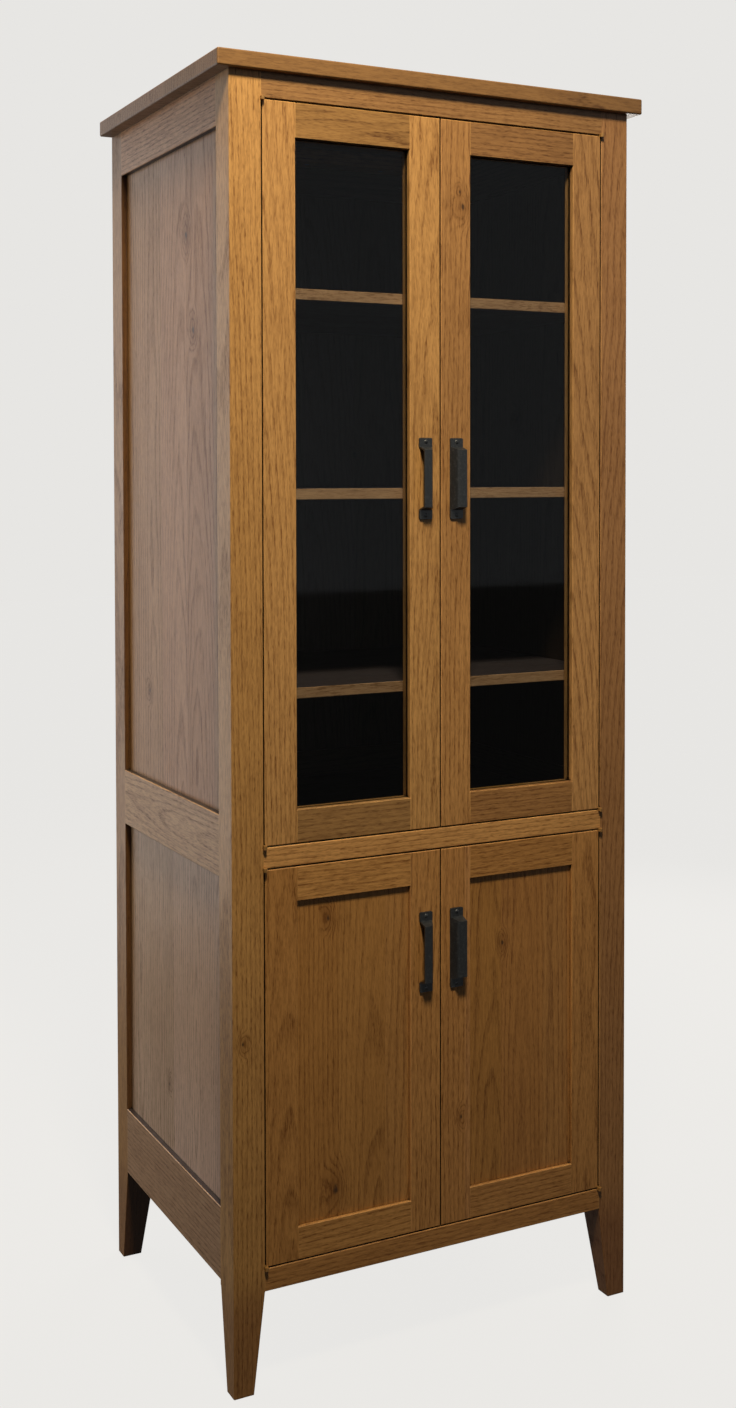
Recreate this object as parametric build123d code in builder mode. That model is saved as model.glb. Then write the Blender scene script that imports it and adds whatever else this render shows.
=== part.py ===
from build123d import *
import math
import os

# A tall oak pantry cabinet. Four posts run down into tapered legs and are tenoned to rails on all four
# sides; thin panels float in grooves in the sides and the back. A pair of glazed doors closes the upper
# bay and a pair of panelled doors the lower one. Each door is inset and turns on two knife hinges.
# Lengths are in millimetres. X runs across the front, Y from the front to the back and Z up.
# The origin is on the floor, at the middle of the box that holds the whole object.

# ---- Overall sizes -------------------------------------------------------------------------------
overall_height = 1900.0
body_width = 692.0  # over the outer faces of the posts
body_depth = 456.0  # from the front faces to the back faces of the posts
slab_thickness = 24.0
slab_side_overhang = 21.5
slab_front_overhang = 10.0
slab_edge_radius = 2.5

# ---- Posts and legs ------------------------------------------------------------------------------
post_width = 50.0  # seen from the front
post_depth = 44.0  # seen from the side
leg_height = 145.0  # the legs taper on their two inner faces, from here down to the floor
foot_width = 32.0
foot_depth = 24.0
arris = 1.5  # rounding of the posts' outer corners and of the legs
edge_ease = 1.0  # small bevel round every opening and door

# ---- Rails ---------------------------------------------------------------------------------------
front_rail_thickness = 22.0
front_top_rail_height = 36.0
front_middle_rail_height = 30.0
front_bottom_rail_height = 33.0
lower_opening_height = 575.0
side_rail_thickness = 22.0
back_rail_thickness = 20.0
wide_top_rail_height = 71.0  # the side and back rails are wider than the front ones
wide_middle_rail_height = 90.0
wide_bottom_rail_height = 107.0
wide_middle_rail_drop = 16.0  # how far it reaches below the front middle rail
wide_bottom_rail_rise = 7.0  # how far its lower edge is above the front bottom rail's
tenon_thickness = 10.0
tenon_length = 24.0
tenon_shoulder = 12.0  # on the wide rails, outside the panel grooves
front_tenon_shoulder = 6.0

# ---- Side and back panels ------------------------------------------------------------------------
side_panel_thickness = 8.0
side_panel_recess = 9.0
back_panel_thickness = 6.0
back_panel_recess = 8.0
groove_depth = 8.0
panel_play = 1.0  # room for the panel to swell in its groove, on every edge

# ---- Decks, shelves and their pins ---------------------------------------------------------------
deck_thickness = 18.0
deck_housing = 6.0  # how far a deck is let into the side rails
shelf_thickness = 16.0
shelf_setback = 25.0  # from the front face to the shelf's front edge
shelf_clearance = 2.0
shelf_drop = 19.5  # how far the middle shelf of a bay is below the middle of that bay
upper_shelf_count = 3
lower_shelf_count = 1
pin_pitch = 32.0
pin_radius = 2.5
pin_hole_clearance = 0.05
pin_hole_depth = 10.0
pin_end_clearance = 1.0
pin_reach = 8.0  # how far a pin stands out under its shelf
pin_from_front = 34.0
pin_from_back = 33.0

# ---- Doors ---------------------------------------------------------------------------------------
door_gap = 2.0
door_thickness = 20.0
stile_width = 52.0
door_top_rail_height = 50.0
door_bottom_rail_height = 48.0
door_tenon_thickness = 6.0
door_tenon_length = 30.0
door_tenon_shoulder = 12.0
glass_recess = 8.0  # from the door's front face back to its glass
door_panel_recess = 5.0
rebate_width = 8.0
glass_thickness = 4.0
bead_joint = 0.2  # the fine line at each mitre
door_panel_thickness = 6.0

# ---- Handles: folded iron hoods, open on the side away from the meeting line --------------------
handle_sheet = 2.5
handle_projection = 15.0
handle_length = 120.0
handle_foot_width = 22.0
handle_hood_width = 21.0
handle_slant = 7.0  # the closed wall leans outwards by this much
handle_fold_radius = 6.0
hood_length_at_door = 96.0
hood_length_at_front = 85.0
foot_corner_radius = 2.0
handle_hole_radius = 2.1
handle_screw_inset = 5.5  # from the handle's end to its screw
upper_handle_rise = 523.0  # from the middle rail up to the middle of the handle
lower_handle_drop = 153.0  # from the middle rail down to the middle of the handle

# ---- Knife hinges, catches and screws -----------------------------------------------------------
pivot_offset = 3.0  # from the door's front face out to the hinge axis
knuckle_radius = 2.8
hinge_pin_radius = 1.5
hinge_pin_clearance = 0.05
leaf_thickness = 2.4
leaf_running_gap = 0.2
leaf_length = 45.0
leaf_front = 5.0  # from the door's front face to the leaf's bar
leaf_back = 14.0
leaf_side_gap = 0.4  # how far the arm reaches past the axis towards the post
leaf_screw_places = (16.0, 36.0)  # from the axis, along the bar
mortise_clearance = 0.1
catch_from_stile = 18.0
catch_width = 24.0
catch_depth = 13.0
catch_hang = 18.0  # how far a catch hangs below the rail in front of it
catch_ear_span = 48.0
catch_ear_thickness = 2.5
strike_radius = 6.0
strike_thickness = 1.2
strike_drop = 7.0  # from the door's top edge down to the strike's middle
magnet_size = 14.0
magnet_clearance = 0.1
magnet_thickness = 7.0
screw_shank_radius = 1.3
screw_head_radius = 2.4
screw_length = 11.0
batten_thickness = 24.0
batten_width = 40.0
slab_screw_bite = 14.0
dome_height = 1.5
dome_radius = 3.2
handle_screw_shank = 1.8
handle_screw_length = 17.0
slab_screw_radius = 2.0
slab_screw_head_radius = 4.0
anchor_spacing = 400.0
anchor_hole_radius = 2.6

# ---- Places worked out from the sizes -----------------------------------------------------------
half_width = body_width / 2
front_reach = max(handle_projection, slab_front_overhang)
front_y = front_reach - (body_depth + front_reach) / 2
back_y = front_y + body_depth
slab_bottom = overall_height - slab_thickness
opening_half = half_width - post_width

lower_floor = leg_height + front_bottom_rail_height
lower_ceiling = lower_floor + lower_opening_height
upper_floor = lower_ceiling + front_middle_rail_height
upper_ceiling = slab_bottom - front_top_rail_height

LEFT, RIGHT = -1, 1
FRONT, BACK = -1, 1
SIDE_NAMES = {LEFT: "left", RIGHT: "right"}
END_NAMES = {FRONT: "front", BACK: "rear"}

# Lower and upper edge of each rail.
front_rails = {
    "top": (upper_ceiling, slab_bottom),
    "middle": (lower_ceiling, upper_floor),
    "bottom": (leg_height, lower_floor),
}
wide_bottom_edge = leg_height + wide_bottom_rail_rise
wide_middle_edge = lower_ceiling - wide_middle_rail_drop
wide_rails = {
    "top": (slab_bottom - wide_top_rail_height, slab_bottom),
    "middle": (wide_middle_edge, wide_middle_edge + wide_middle_rail_height),
    "bottom": (wide_bottom_edge, wide_bottom_edge + wide_bottom_rail_height),
}
# Lower and upper edge of the openings between the wide rails, where the panels show.
panel_openings = {
    "upper": (wide_rails["middle"][1], wide_rails["top"][0]),
    "lower": (wide_rails["bottom"][1], wide_rails["middle"][0]),
}
bays = {
    "upper": (upper_floor, upper_ceiling, upper_shelf_count),
    "lower": (lower_floor, lower_ceiling, lower_shelf_count),
}


# ---- Helpers -------------------------------------------------------------------------------------
def from_side(side, near, far):
    """X of two places, measured inwards from the outer face of the left or right posts, low one first."""
    return tuple(sorted((side * (half_width - near), side * (half_width - far))))


def from_end(end, near, far):
    """Y of two places, measured inwards from the front or the back face, low one first."""
    if end == FRONT:
        return front_y + near, front_y + far
    return back_y - far, back_y - near


def inset(span, amount):
    """The span made shorter by the amount at both ends; a negative amount makes it longer."""
    return span[0] + amount, span[1] - amount


def middle(span):
    return (span[0] + span[1]) / 2


def block(x, y, z, mode=Mode.ADD):
    """A squared block between low and high X, Y and Z, in the piece being made."""
    with Locations((middle(x), middle(y), middle(z))):
        Box(x[1] - x[0], y[1] - y[0], z[1] - z[0], mode=mode)


def flat_rectangle(x, y, corner_radius=0.0):
    """A rectangle between low and high coordinates, in the sketch being made."""
    with Locations((middle(x), middle(y))):
        if corner_radius:
            RectangleRounded(x[1] - x[0], y[1] - y[0], corner_radius)
        else:
            Rectangle(x[1] - x[0], y[1] - y[0])


def upright_plane(y, facing):
    """A plane whose own axes are X and Z, at the given Y. It faces the front or the back."""
    if facing == FRONT:
        return Plane((0, y, 0), x_dir=(1, 0, 0), z_dir=(0, -1, 0))
    return Plane((0, y, 0), x_dir=(-1, 0, 0), z_dir=(0, 1, 0))


def opening_bevel(face_plane, span, heights):
    """The shallow frustum that takes the sharp edge off a rectangular opening in a face."""
    with BuildPart() as cutter:
        with BuildSketch(face_plane):
            flat_rectangle(inset(span, -edge_ease), inset(heights, -edge_ease))
        with BuildSketch(face_plane.offset(-edge_ease)):
            flat_rectangle(span, heights)
        loft(ruled=True)
    return cutter.part


def shelf_heights(bay):
    """Top of each shelf in a bay, spaced by whole steps of the pin holes."""
    floor, ceiling, count = bays[bay]
    step = pin_pitch * math.ceil((ceiling - floor) / (count + 1) / pin_pitch)
    middle_shelf = (floor + ceiling) / 2 - shelf_drop
    return [middle_shelf + step * (i - (count - 1) / 2) for i in range(count)]


shelf_tops = shelf_heights("lower") + shelf_heights("upper")


def save(piece, node):
    """Name a finished piece and write it out."""
    piece.part.label = node
    export_step(piece.part, f"parts/{node}.step")


os.makedirs("parts", exist_ok=True)

# ---- Screws --------------------------------------------------------------------------------------
# Each pattern points down, with the outer face of its head at the origin.
DOWN = (0, 0, 0)
UP = (180, 0, 0)
TOWARDS_BACK = (90, 0, 0)
TOWARDS_FRONT = (-90, 0, 0)

with BuildPart() as flat_screw:
    with BuildSketch(Plane.XZ):
        with BuildLine():
            Polyline(
                (0, 0),
                (screw_head_radius, 0),
                (screw_shank_radius, screw_shank_radius - screw_head_radius),
                (screw_shank_radius, screw_shank_radius - screw_length),
                (0, -screw_length),
                close=True,
            )
        make_face()
    revolve(axis=Axis.Z)

strike_screw_length = strike_thickness + screw_length
with BuildPart() as strike_screw:
    with BuildSketch(Plane.XZ):
        flat_rectangle((0, strike_radius), (-strike_thickness, 0))
        flat_rectangle((0, screw_shank_radius), (-strike_screw_length, 0))
    revolve(axis=Axis.Z)

with BuildPart() as dome_screw:
    with BuildSketch(Plane.XZ):
        with BuildLine():
            ThreePointArc(
                (0, dome_height),
                (dome_radius * math.sin(math.pi / 4), dome_height * math.cos(math.pi / 4)),
                (dome_radius, 0),
            )
            Polyline(
                (dome_radius, 0),
                (handle_screw_shank, 0),
                (handle_screw_shank, -handle_screw_length),
                (0, -handle_screw_length),
                (0, dome_height),
            )
        make_face()
    revolve(axis=Axis.Z)

slab_screw_length = batten_thickness + slab_screw_bite
with BuildPart() as slab_screw:
    with BuildSketch(Plane.XZ):
        with BuildLine():
            Polyline(
                (0, 0),
                (slab_screw_head_radius, 0),
                (slab_screw_radius, slab_screw_radius - slab_screw_head_radius),
                (slab_screw_radius, -slab_screw_length),
                (0, -slab_screw_length),
                close=True,
            )
        make_face()
    revolve(axis=Axis.Z)


# ---- Knife hinges --------------------------------------------------------------------------------
def leaf_plan(side, grow=0.0):
    """Plan of one hinge leaf, in the sketch being made: a knuckle, a short arm and a long bar."""
    pivot_x = side * (opening_half - door_gap / 2)
    pivot_y = front_y - pivot_offset

    def inboard(near, far):
        return tuple(sorted((pivot_x - side * near, pivot_x - side * far)))

    with Locations((pivot_x, pivot_y)):
        Circle(knuckle_radius + grow)
    arm = inboard(-leaf_side_gap - grow, knuckle_radius + grow)
    flat_rectangle(arm, (pivot_y, front_y + leaf_back + grow))
    bar = inboard(-leaf_side_gap - grow, leaf_length + grow)
    flat_rectangle(bar, (front_y + leaf_front - grow, front_y + leaf_back + grow))


def hinge_level(door_edge, upward):
    """Heights of the two leaves at a door's top (upward) or bottom edge: door leaf, frame leaf."""
    turn = 1 if upward else -1
    running_face = door_edge + turn * door_gap / 2
    near = turn * leaf_running_gap / 2
    far = turn * (leaf_running_gap / 2 + leaf_thickness)
    door_leaf = tuple(sorted((running_face - near, running_face - far)))
    frame_leaf = tuple(sorted((running_face + near, running_face + far)))
    return door_leaf, frame_leaf


def leaf_screw_centres(side):
    """X and Y of a leaf's screws."""
    y = front_y + (leaf_front + leaf_back) / 2
    return [(side * (opening_half - door_gap / 2 - place), y) for place in leaf_screw_places]


# The lower and upper edge of each door, and the two hinges on every door.
door_heights = {
    "upper": inset((upper_floor, upper_ceiling), door_gap),
    "lower": inset((lower_floor, lower_ceiling), door_gap),
}
hinges = [
    (side, level, upward)
    for level in door_heights
    for side in (LEFT, RIGHT)
    for upward in (False, True)
]


def leaf_heights(level, upward):
    return hinge_level(door_heights[level][1 if upward else 0], upward)


with BuildPart() as frame_leaf_blanks:
    for side, level, upward in hinges:
        door_leaf, frame_leaf = leaf_heights(level, upward)
        with BuildSketch(Plane.XY.offset(frame_leaf[0])):
            leaf_plan(side)
        extrude(amount=leaf_thickness)
        pin_bottom = min(door_leaf[0], frame_leaf[0])
        with BuildSketch(Plane.XY.offset(pin_bottom)):
            with Locations((side * (opening_half - door_gap / 2), front_y - pivot_offset)):
                Circle(hinge_pin_radius)
        extrude(amount=2 * leaf_thickness + leaf_running_gap)

# ---- Screws in the frame: hinge leaves, catches, and battens to slab ----------------------------
catch_x = door_gap / 2 + stile_width + catch_from_stile
catch_front = max(front_rail_thickness, door_thickness + strike_thickness + magnet_clearance)
catch_y = front_y + catch_front + catch_depth / 2
catch_seats = {
    "upper": slab_bottom - batten_thickness,
    "lower": upper_floor - deck_thickness,
}
batten_spans = [
    from_end(FRONT, front_rail_thickness, front_rail_thickness + batten_width),
    from_end(BACK, back_rail_thickness, back_rail_thickness + batten_width),
]
ear_screw_offset = (catch_ear_span + catch_width) / 4

with BuildPart() as frame_screws:
    for side, level, upward in hinges:
        frame_leaf = leaf_heights(level, upward)[1]
        height = frame_leaf[0] if upward else frame_leaf[1]
        for x, y in leaf_screw_centres(side):
            with Locations(Location((x, y, height), UP if upward else DOWN)):
                add(flat_screw.part)
    for seat in catch_seats.values():
        for side in (LEFT, RIGHT):
            for ear in (-1, 1):
                place = (side * catch_x + ear * ear_screw_offset, catch_y, seat - catch_ear_thickness)
                with Locations(Location(place, UP)):
                    add(flat_screw.part)
    for span in batten_spans:
        for x in (-opening_half / 2, 0, opening_half / 2):
            with Locations(Location((x, middle(span), slab_bottom - batten_thickness), UP)):
                add(slab_screw.part)

with BuildPart() as frame_hinge_leaves:
    add(frame_leaf_blanks.part)
    add(frame_screws.part, mode=Mode.SUBTRACT)
save(frame_hinge_leaves, "frame_hinge_leaves")
save(frame_screws, "frame_screws")

# ---- Top slab ------------------------------------------------------------------------------------
with BuildPart() as top_slab:
    block(
        inset((-half_width, half_width), -slab_side_overhang),
        (front_y - slab_front_overhang, back_y),
        (slab_bottom, overall_height),
    )
    fillet(top_slab.edges(), slab_edge_radius)
    add(frame_screws.part, mode=Mode.SUBTRACT)
save(top_slab, "top_slab")

# ---- Bevels round the openings in the body's faces ----------------------------------------------
front_bevels = [
    opening_bevel(upright_plane(front_y, FRONT), (-opening_half, opening_half), (floor, ceiling))
    for floor, ceiling, count in bays.values()
]
back_bevels = [
    opening_bevel(upright_plane(back_y, BACK), (-opening_half, opening_half), heights)
    for heights in panel_openings.values()
]
side_bevels = [
    opening_bevel(
        Plane((side * half_width, 0, 0), x_dir=(0, side, 0), z_dir=(side, 0, 0)),
        tuple(sorted((side * (front_y + post_depth), side * (back_y - post_depth)))),
        heights,
    )
    for side in (LEFT, RIGHT)
    for heights in panel_openings.values()
]

# ---- Panels, tenons and the grooves and mortises they fit ---------------------------------------
side_panel_depths = (side_panel_recess, side_panel_recess + side_panel_thickness)
back_panel_depths = (back_panel_recess, back_panel_recess + back_panel_thickness)
side_opening = (front_y + post_depth, back_y - post_depth)
front_opening = (-opening_half, opening_half)


def side_panel(side, heights, reach, mode=Mode.ADD):
    """A side panel that reaches past its opening by the given amount on every edge."""
    block(from_side(side, *side_panel_depths), inset(side_opening, -reach), inset(heights, -reach), mode)


def back_panel(heights, reach, mode=Mode.ADD):
    """A back panel that reaches past its opening by the given amount on every edge."""
    block(inset(front_opening, -reach), from_end(BACK, *back_panel_depths), inset(heights, -reach), mode)


def side_rail_blocks(side, heights, reach, shoulder, thickness, mode=Mode.ADD):
    """A side rail's body or its tenons: a block between the posts that reaches into them."""
    margin = (side_rail_thickness - thickness) / 2
    x = from_side(side, margin, side_rail_thickness - margin)
    block(x, inset(side_opening, -reach), inset(heights, shoulder), mode)


def cross_rail_blocks(end, heights, full, reach, shoulder, thickness, mode=Mode.ADD):
    """The same for a rail that runs across the front or the back."""
    margin = (full - thickness) / 2
    y = from_end(end, margin, full - margin)
    block(inset(front_opening, -reach), y, inset(heights, shoulder), mode)


for side in (LEFT, RIGHT):
    for level, heights in panel_openings.items():
        with BuildPart() as panel:
            side_panel(side, heights, groove_depth - panel_play)
        save(panel, f"{SIDE_NAMES[side]}_{level}_side_panel")

for level, heights in panel_openings.items():
    with BuildPart() as panel:
        back_panel(heights, groove_depth - panel_play)
    save(panel, f"{level}_back_panel")


# ---- Posts ---------------------------------------------------------------------------------------
def pin_centres():
    """Height of every pin: its shelf rests on it."""
    return [top - shelf_thickness - pin_radius for top in shelf_tops]


def pin_y(end):
    return front_y + pin_from_front if end == FRONT else back_y - pin_from_back


for side in (LEFT, RIGHT):
    for end in (FRONT, BACK):
        foot = (from_side(side, 0, foot_width), from_end(end, 0, foot_depth))
        section = (from_side(side, 0, post_width), from_end(end, 0, post_depth))
        inner_face = side * opening_half
        with BuildPart() as post:
            with BuildSketch(Plane.XY):
                flat_rectangle(*foot, arris)
            with BuildSketch(Plane.XY.offset(leg_height)):
                flat_rectangle(*section, arris)
            loft(ruled=True)
            with BuildSketch(Plane.XY.offset(leg_height)) as upper_section:
                flat_rectangle(*section)
                outer_corner = upper_section.vertices().sort_by_distance(
                    (side * half_width, end * body_depth, leg_height)
                )[0]
                fillet(outer_corner, arris)
            extrude(amount=slab_bottom - leg_height)

            for heights in wide_rails.values():
                side_rail_blocks(
                    side, heights, tenon_length, tenon_shoulder, tenon_thickness, Mode.SUBTRACT
                )
            for heights in panel_openings.values():
                side_panel(side, heights, groove_depth, Mode.SUBTRACT)
            if end == FRONT:
                for heights in front_rails.values():
                    cross_rail_blocks(
                        FRONT, heights, front_rail_thickness, tenon_length,
                        front_tenon_shoulder, tenon_thickness, Mode.SUBTRACT,
                    )
            else:
                for heights in wide_rails.values():
                    cross_rail_blocks(
                        BACK, heights, back_rail_thickness, tenon_length,
                        tenon_shoulder, tenon_thickness, Mode.SUBTRACT,
                    )
                for heights in panel_openings.values():
                    back_panel(heights, groove_depth, Mode.SUBTRACT)

            for height in pin_centres():
                for step in (-1, 0, 1):
                    hole = (inner_face, pin_y(end), height + step * pin_pitch)
                    with Locations(Location(hole, (0, 90, 0))):
                        Cylinder(
                            pin_radius + pin_hole_clearance, 2 * pin_hole_depth, mode=Mode.SUBTRACT
                        )
            for bevel in side_bevels + (front_bevels if end == FRONT else back_bevels):
                add(bevel, mode=Mode.SUBTRACT)
        save(post, f"{SIDE_NAMES[side]}_{END_NAMES[end]}_post")


# ---- Decks and shelves: boards notched round the posts -------------------------------------------
def notched_board(half_length, y, top, thickness, clearance):
    """A board whose four corners are cut away to clear the posts."""
    block((-half_length, half_length), y, (top - thickness, top))
    for side in (LEFT, RIGHT):
        notch_x = from_side(side, 0, post_width + clearance)
        for end in (FRONT, BACK):
            notch_y = from_end(end, 0, post_depth + clearance)
            block(notch_x, notch_y, (top - thickness, top), Mode.SUBTRACT)


deck_tops = {"middle": upper_floor, "bottom": lower_floor}
deck_half_length = half_width - side_rail_thickness + deck_housing
deck_y = (front_y + front_rail_thickness, back_y - back_rail_thickness)
for name, top in deck_tops.items():
    with BuildPart() as deck:
        notched_board(deck_half_length, deck_y, top, deck_thickness, 0)
        add(frame_screws.part, mode=Mode.SUBTRACT)
    save(deck, f"{name}_deck")

shelf_y = (front_y + shelf_setback, back_y - back_rail_thickness - shelf_clearance)
with BuildPart() as shelves:
    for top in shelf_tops:
        notched_board(
            half_width - side_rail_thickness - shelf_clearance,
            shelf_y, top, shelf_thickness, shelf_clearance,
        )
    front_edges = shelves.edges().filter_by(Axis.X).group_by(Axis.Y)[0]
    fillet(front_edges, edge_ease)
save(shelves, "shelves")

with BuildPart() as shelf_pins:
    for side in (LEFT, RIGHT):
        for end in (FRONT, BACK):
            for height in pin_centres():
                span = (opening_half - pin_reach, opening_half + pin_hole_depth - pin_end_clearance)
                place = (side * middle(span), pin_y(end), height)
                with Locations(Location(place, (0, 90, 0))):
                    Cylinder(pin_radius, span[1] - span[0])
save(shelf_pins, "shelf_pins")

# ---- Side rails ----------------------------------------------------------------------------------
for side in (LEFT, RIGHT):
    for name, heights in wide_rails.items():
        with BuildPart() as rail:
            side_rail_blocks(side, heights, 0, 0, side_rail_thickness)
            if name == "bottom":
                outer_edge = rail.edges().filter_by(Axis.Y).group_by(Axis.Z)[0]
                chamfer(outer_edge.sort_by(lambda edge: -abs(edge.center().X))[0], edge_ease)
            side_rail_blocks(side, heights, tenon_length, tenon_shoulder, tenon_thickness)
            for opening in panel_openings.values():
                side_panel(side, opening, groove_depth, Mode.SUBTRACT)
            for top in deck_tops.values():
                deck_x = (-deck_half_length, deck_half_length)
                block(deck_x, deck_y, (top - deck_thickness, top), Mode.SUBTRACT)
            for bevel in side_bevels:
                add(bevel, mode=Mode.SUBTRACT)
        save(rail, f"{SIDE_NAMES[side]}_{name}_side_rail")

# ---- Back rails, with two holes in the top one for fixing the cabinet to a wall ------------------
with BuildPart() as back_rails:
    for heights in wide_rails.values():
        cross_rail_blocks(BACK, heights, back_rail_thickness, 0, 0, back_rail_thickness)
        cross_rail_blocks(
            BACK, heights, back_rail_thickness, tenon_length, tenon_shoulder, tenon_thickness
        )
    for heights in panel_openings.values():
        back_panel(heights, groove_depth, Mode.SUBTRACT)
    for bevel in back_bevels:
        add(bevel, mode=Mode.SUBTRACT)
    anchor_height = middle((wide_rails["top"][0], slab_bottom - batten_thickness))
    for x in (-anchor_spacing / 2, anchor_spacing / 2):
        with Locations(Location((x, back_y - back_rail_thickness / 2, anchor_height), (90, 0, 0))):
            Cylinder(anchor_hole_radius, back_rail_thickness, mode=Mode.SUBTRACT)
save(back_rails, "back_rails")

# ---- Front rails, mortised for the hinge leaves --------------------------------------------------
with BuildPart() as frame_leaf_mortises:
    for side, level, upward in hinges:
        frame_leaf = inset(leaf_heights(level, upward)[1], -mortise_clearance)
        with BuildSketch(Plane.XY.offset(frame_leaf[0])):
            leaf_plan(side, mortise_clearance)
        extrude(amount=frame_leaf[1] - frame_leaf[0])

for name, heights in front_rails.items():
    with BuildPart() as rail:
        cross_rail_blocks(FRONT, heights, front_rail_thickness, 0, 0, front_rail_thickness)
        if name == "bottom":
            lower_edges = rail.edges().filter_by(Axis.X).group_by(Axis.Z)[0]
            chamfer(lower_edges.sort_by(Axis.Y)[0], edge_ease)
        cross_rail_blocks(
            FRONT, heights, front_rail_thickness, tenon_length, front_tenon_shoulder, tenon_thickness
        )
        add(frame_leaf_mortises.part, mode=Mode.SUBTRACT)
        add(frame_screws.part, mode=Mode.SUBTRACT)
        for bevel in front_bevels:
            add(bevel, mode=Mode.SUBTRACT)
    save(rail, f"front_{name}_rail")

# ---- Battens that hold the slab, and the magnetic catches ----------------------------------------
with BuildPart() as top_battens:
    for span in batten_spans:
        block(front_opening, span, (slab_bottom - batten_thickness, slab_bottom))
    add(frame_screws.part, mode=Mode.SUBTRACT)
save(top_battens, "top_battens")

strike_heights = {level: heights[1] - strike_drop for level, heights in door_heights.items()}
strike_back = front_y + door_thickness + strike_thickness
with BuildPart() as catches:
    for level, seat in catch_seats.items():
        rail_bottom = bays[level][1]
        for side in (LEFT, RIGHT):
            x = side * catch_x
            y = (catch_y - catch_depth / 2, catch_y + catch_depth / 2)
            block((x - catch_width / 2, x + catch_width / 2), y, (rail_bottom - catch_hang, seat))
            ears = (x - catch_ear_span / 2, x + catch_ear_span / 2)
            block(ears, y, (seat - catch_ear_thickness, seat))
            magnet = (x - magnet_size / 2, x + magnet_size / 2)
            height = strike_heights[level]
            magnet_z = (height - magnet_thickness / 2, height + magnet_thickness / 2)
            block(magnet, (strike_back + magnet_clearance, y[1]), magnet_z)
    add(frame_screws.part, mode=Mode.SUBTRACT)
save(catches, "catches")

# ---- Doors ---------------------------------------------------------------------------------------
door_y = (front_y, front_y + door_thickness)
fillings = {  # what each level's doors hold, how far back, and how thick
    "upper": ("glass", glass_recess, glass_thickness),
    "lower": ("panel", door_panel_recess, door_panel_thickness),
}
handle_heights = {
    "upper": upper_floor + upper_handle_rise,
    "lower": lower_ceiling - lower_handle_drop,
}


def door_span(side, near, far):
    """X of two places on a door, measured from its edge at the meeting line, low one first."""
    start = door_gap / 2
    return tuple(sorted((side * (start + near), side * (start + far))))


def make_handle(side, height):
    """A folded hood with a foot at each end."""
    closed = door_gap / 2 + (stile_width - handle_foot_width) / 2
    face = front_y
    crown = front_y - handle_projection
    with BuildPart() as handle:
        with BuildSketch(Plane.XY.offset(height - hood_length_at_door / 2)):
            with BuildLine():
                Polyline(
                    (side * closed, face),
                    (side * (closed + handle_slant), crown),
                    (side * (closed + handle_hood_width), crown),
                    (side * (closed + handle_hood_width), face),
                    close=True,
                )
            make_face()
        extrude(amount=hood_length_at_door)
        with BuildSketch(Plane.YZ):
            with BuildLine():
                Polyline(
                    (face, height - hood_length_at_door / 2),
                    (crown, height - hood_length_at_front / 2),
                    (crown, height + hood_length_at_front / 2),
                    (face, height + hood_length_at_door / 2),
                    close=True,
                )
            make_face()
        extrude(amount=half_width, both=True, mode=Mode.INTERSECT)
        crown_edges = handle.edges().filter_by(Axis.Z).group_by(Axis.Y)[0]
        fillet(crown_edges.sort_by(lambda edge: abs(edge.center().X))[0], handle_fold_radius)
        open_back = handle.faces().sort_by(Axis.Y)[-1]
        open_side = handle.faces().filter_by(Axis.X)[0]
        offset(amount=-handle_sheet, openings=[open_back, open_side])

        foot_x = tuple(sorted((side * closed, side * (closed + handle_foot_width))))
        overlap = hood_length_at_door / 2 - handle_sheet
        with BuildSketch(upright_plane(face, FRONT)):
            for end in (-1, 1):
                foot_z = tuple(sorted((height + end * overlap, height + end * handle_length / 2)))
                flat_rectangle(foot_x, foot_z, foot_corner_radius)
                with Locations((middle(foot_x), screw_height(height, end))):
                    Circle(handle_hole_radius, mode=Mode.SUBTRACT)
        extrude(amount=handle_sheet)
    return handle


def screw_height(height, end):
    """Height of the screw at the lower (-1) or upper (1) end of a handle."""
    return height + end * (handle_length / 2 - handle_screw_inset)


def make_beads(x, z):
    """Four mitred strips that hold the glass in its rebate."""
    outer = [(x[0], z[0]), (x[1], z[0]), (x[1], z[1]), (x[0], z[1])]
    clear_x, clear_z = inset(x, rebate_width), inset(z, rebate_width)
    inner = [
        (clear_x[0], clear_z[0]), (clear_x[1], clear_z[0]),
        (clear_x[1], clear_z[1]), (clear_x[0], clear_z[1]),
    ]
    along = [(1, 0), (0, 1), (-1, 0), (0, -1)]
    with BuildPart() as beads:
        for i in range(4):
            j = (i + 1) % 4
            dx, dz = (bead_joint / 2 * part for part in along[i])
            strip = [
                (outer[i][0] + dx, outer[i][1] + dz), (outer[j][0] - dx, outer[j][1] - dz),
                (inner[j][0] - dx, inner[j][1] - dz), (inner[i][0] + dx, inner[i][1] + dz),
            ]
            with BuildSketch(upright_plane(door_y[1], FRONT)):
                with BuildLine():
                    Polyline(*strip, close=True)
                make_face()
            extrude(amount=door_thickness - glass_recess - glass_thickness)
    return beads


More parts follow.
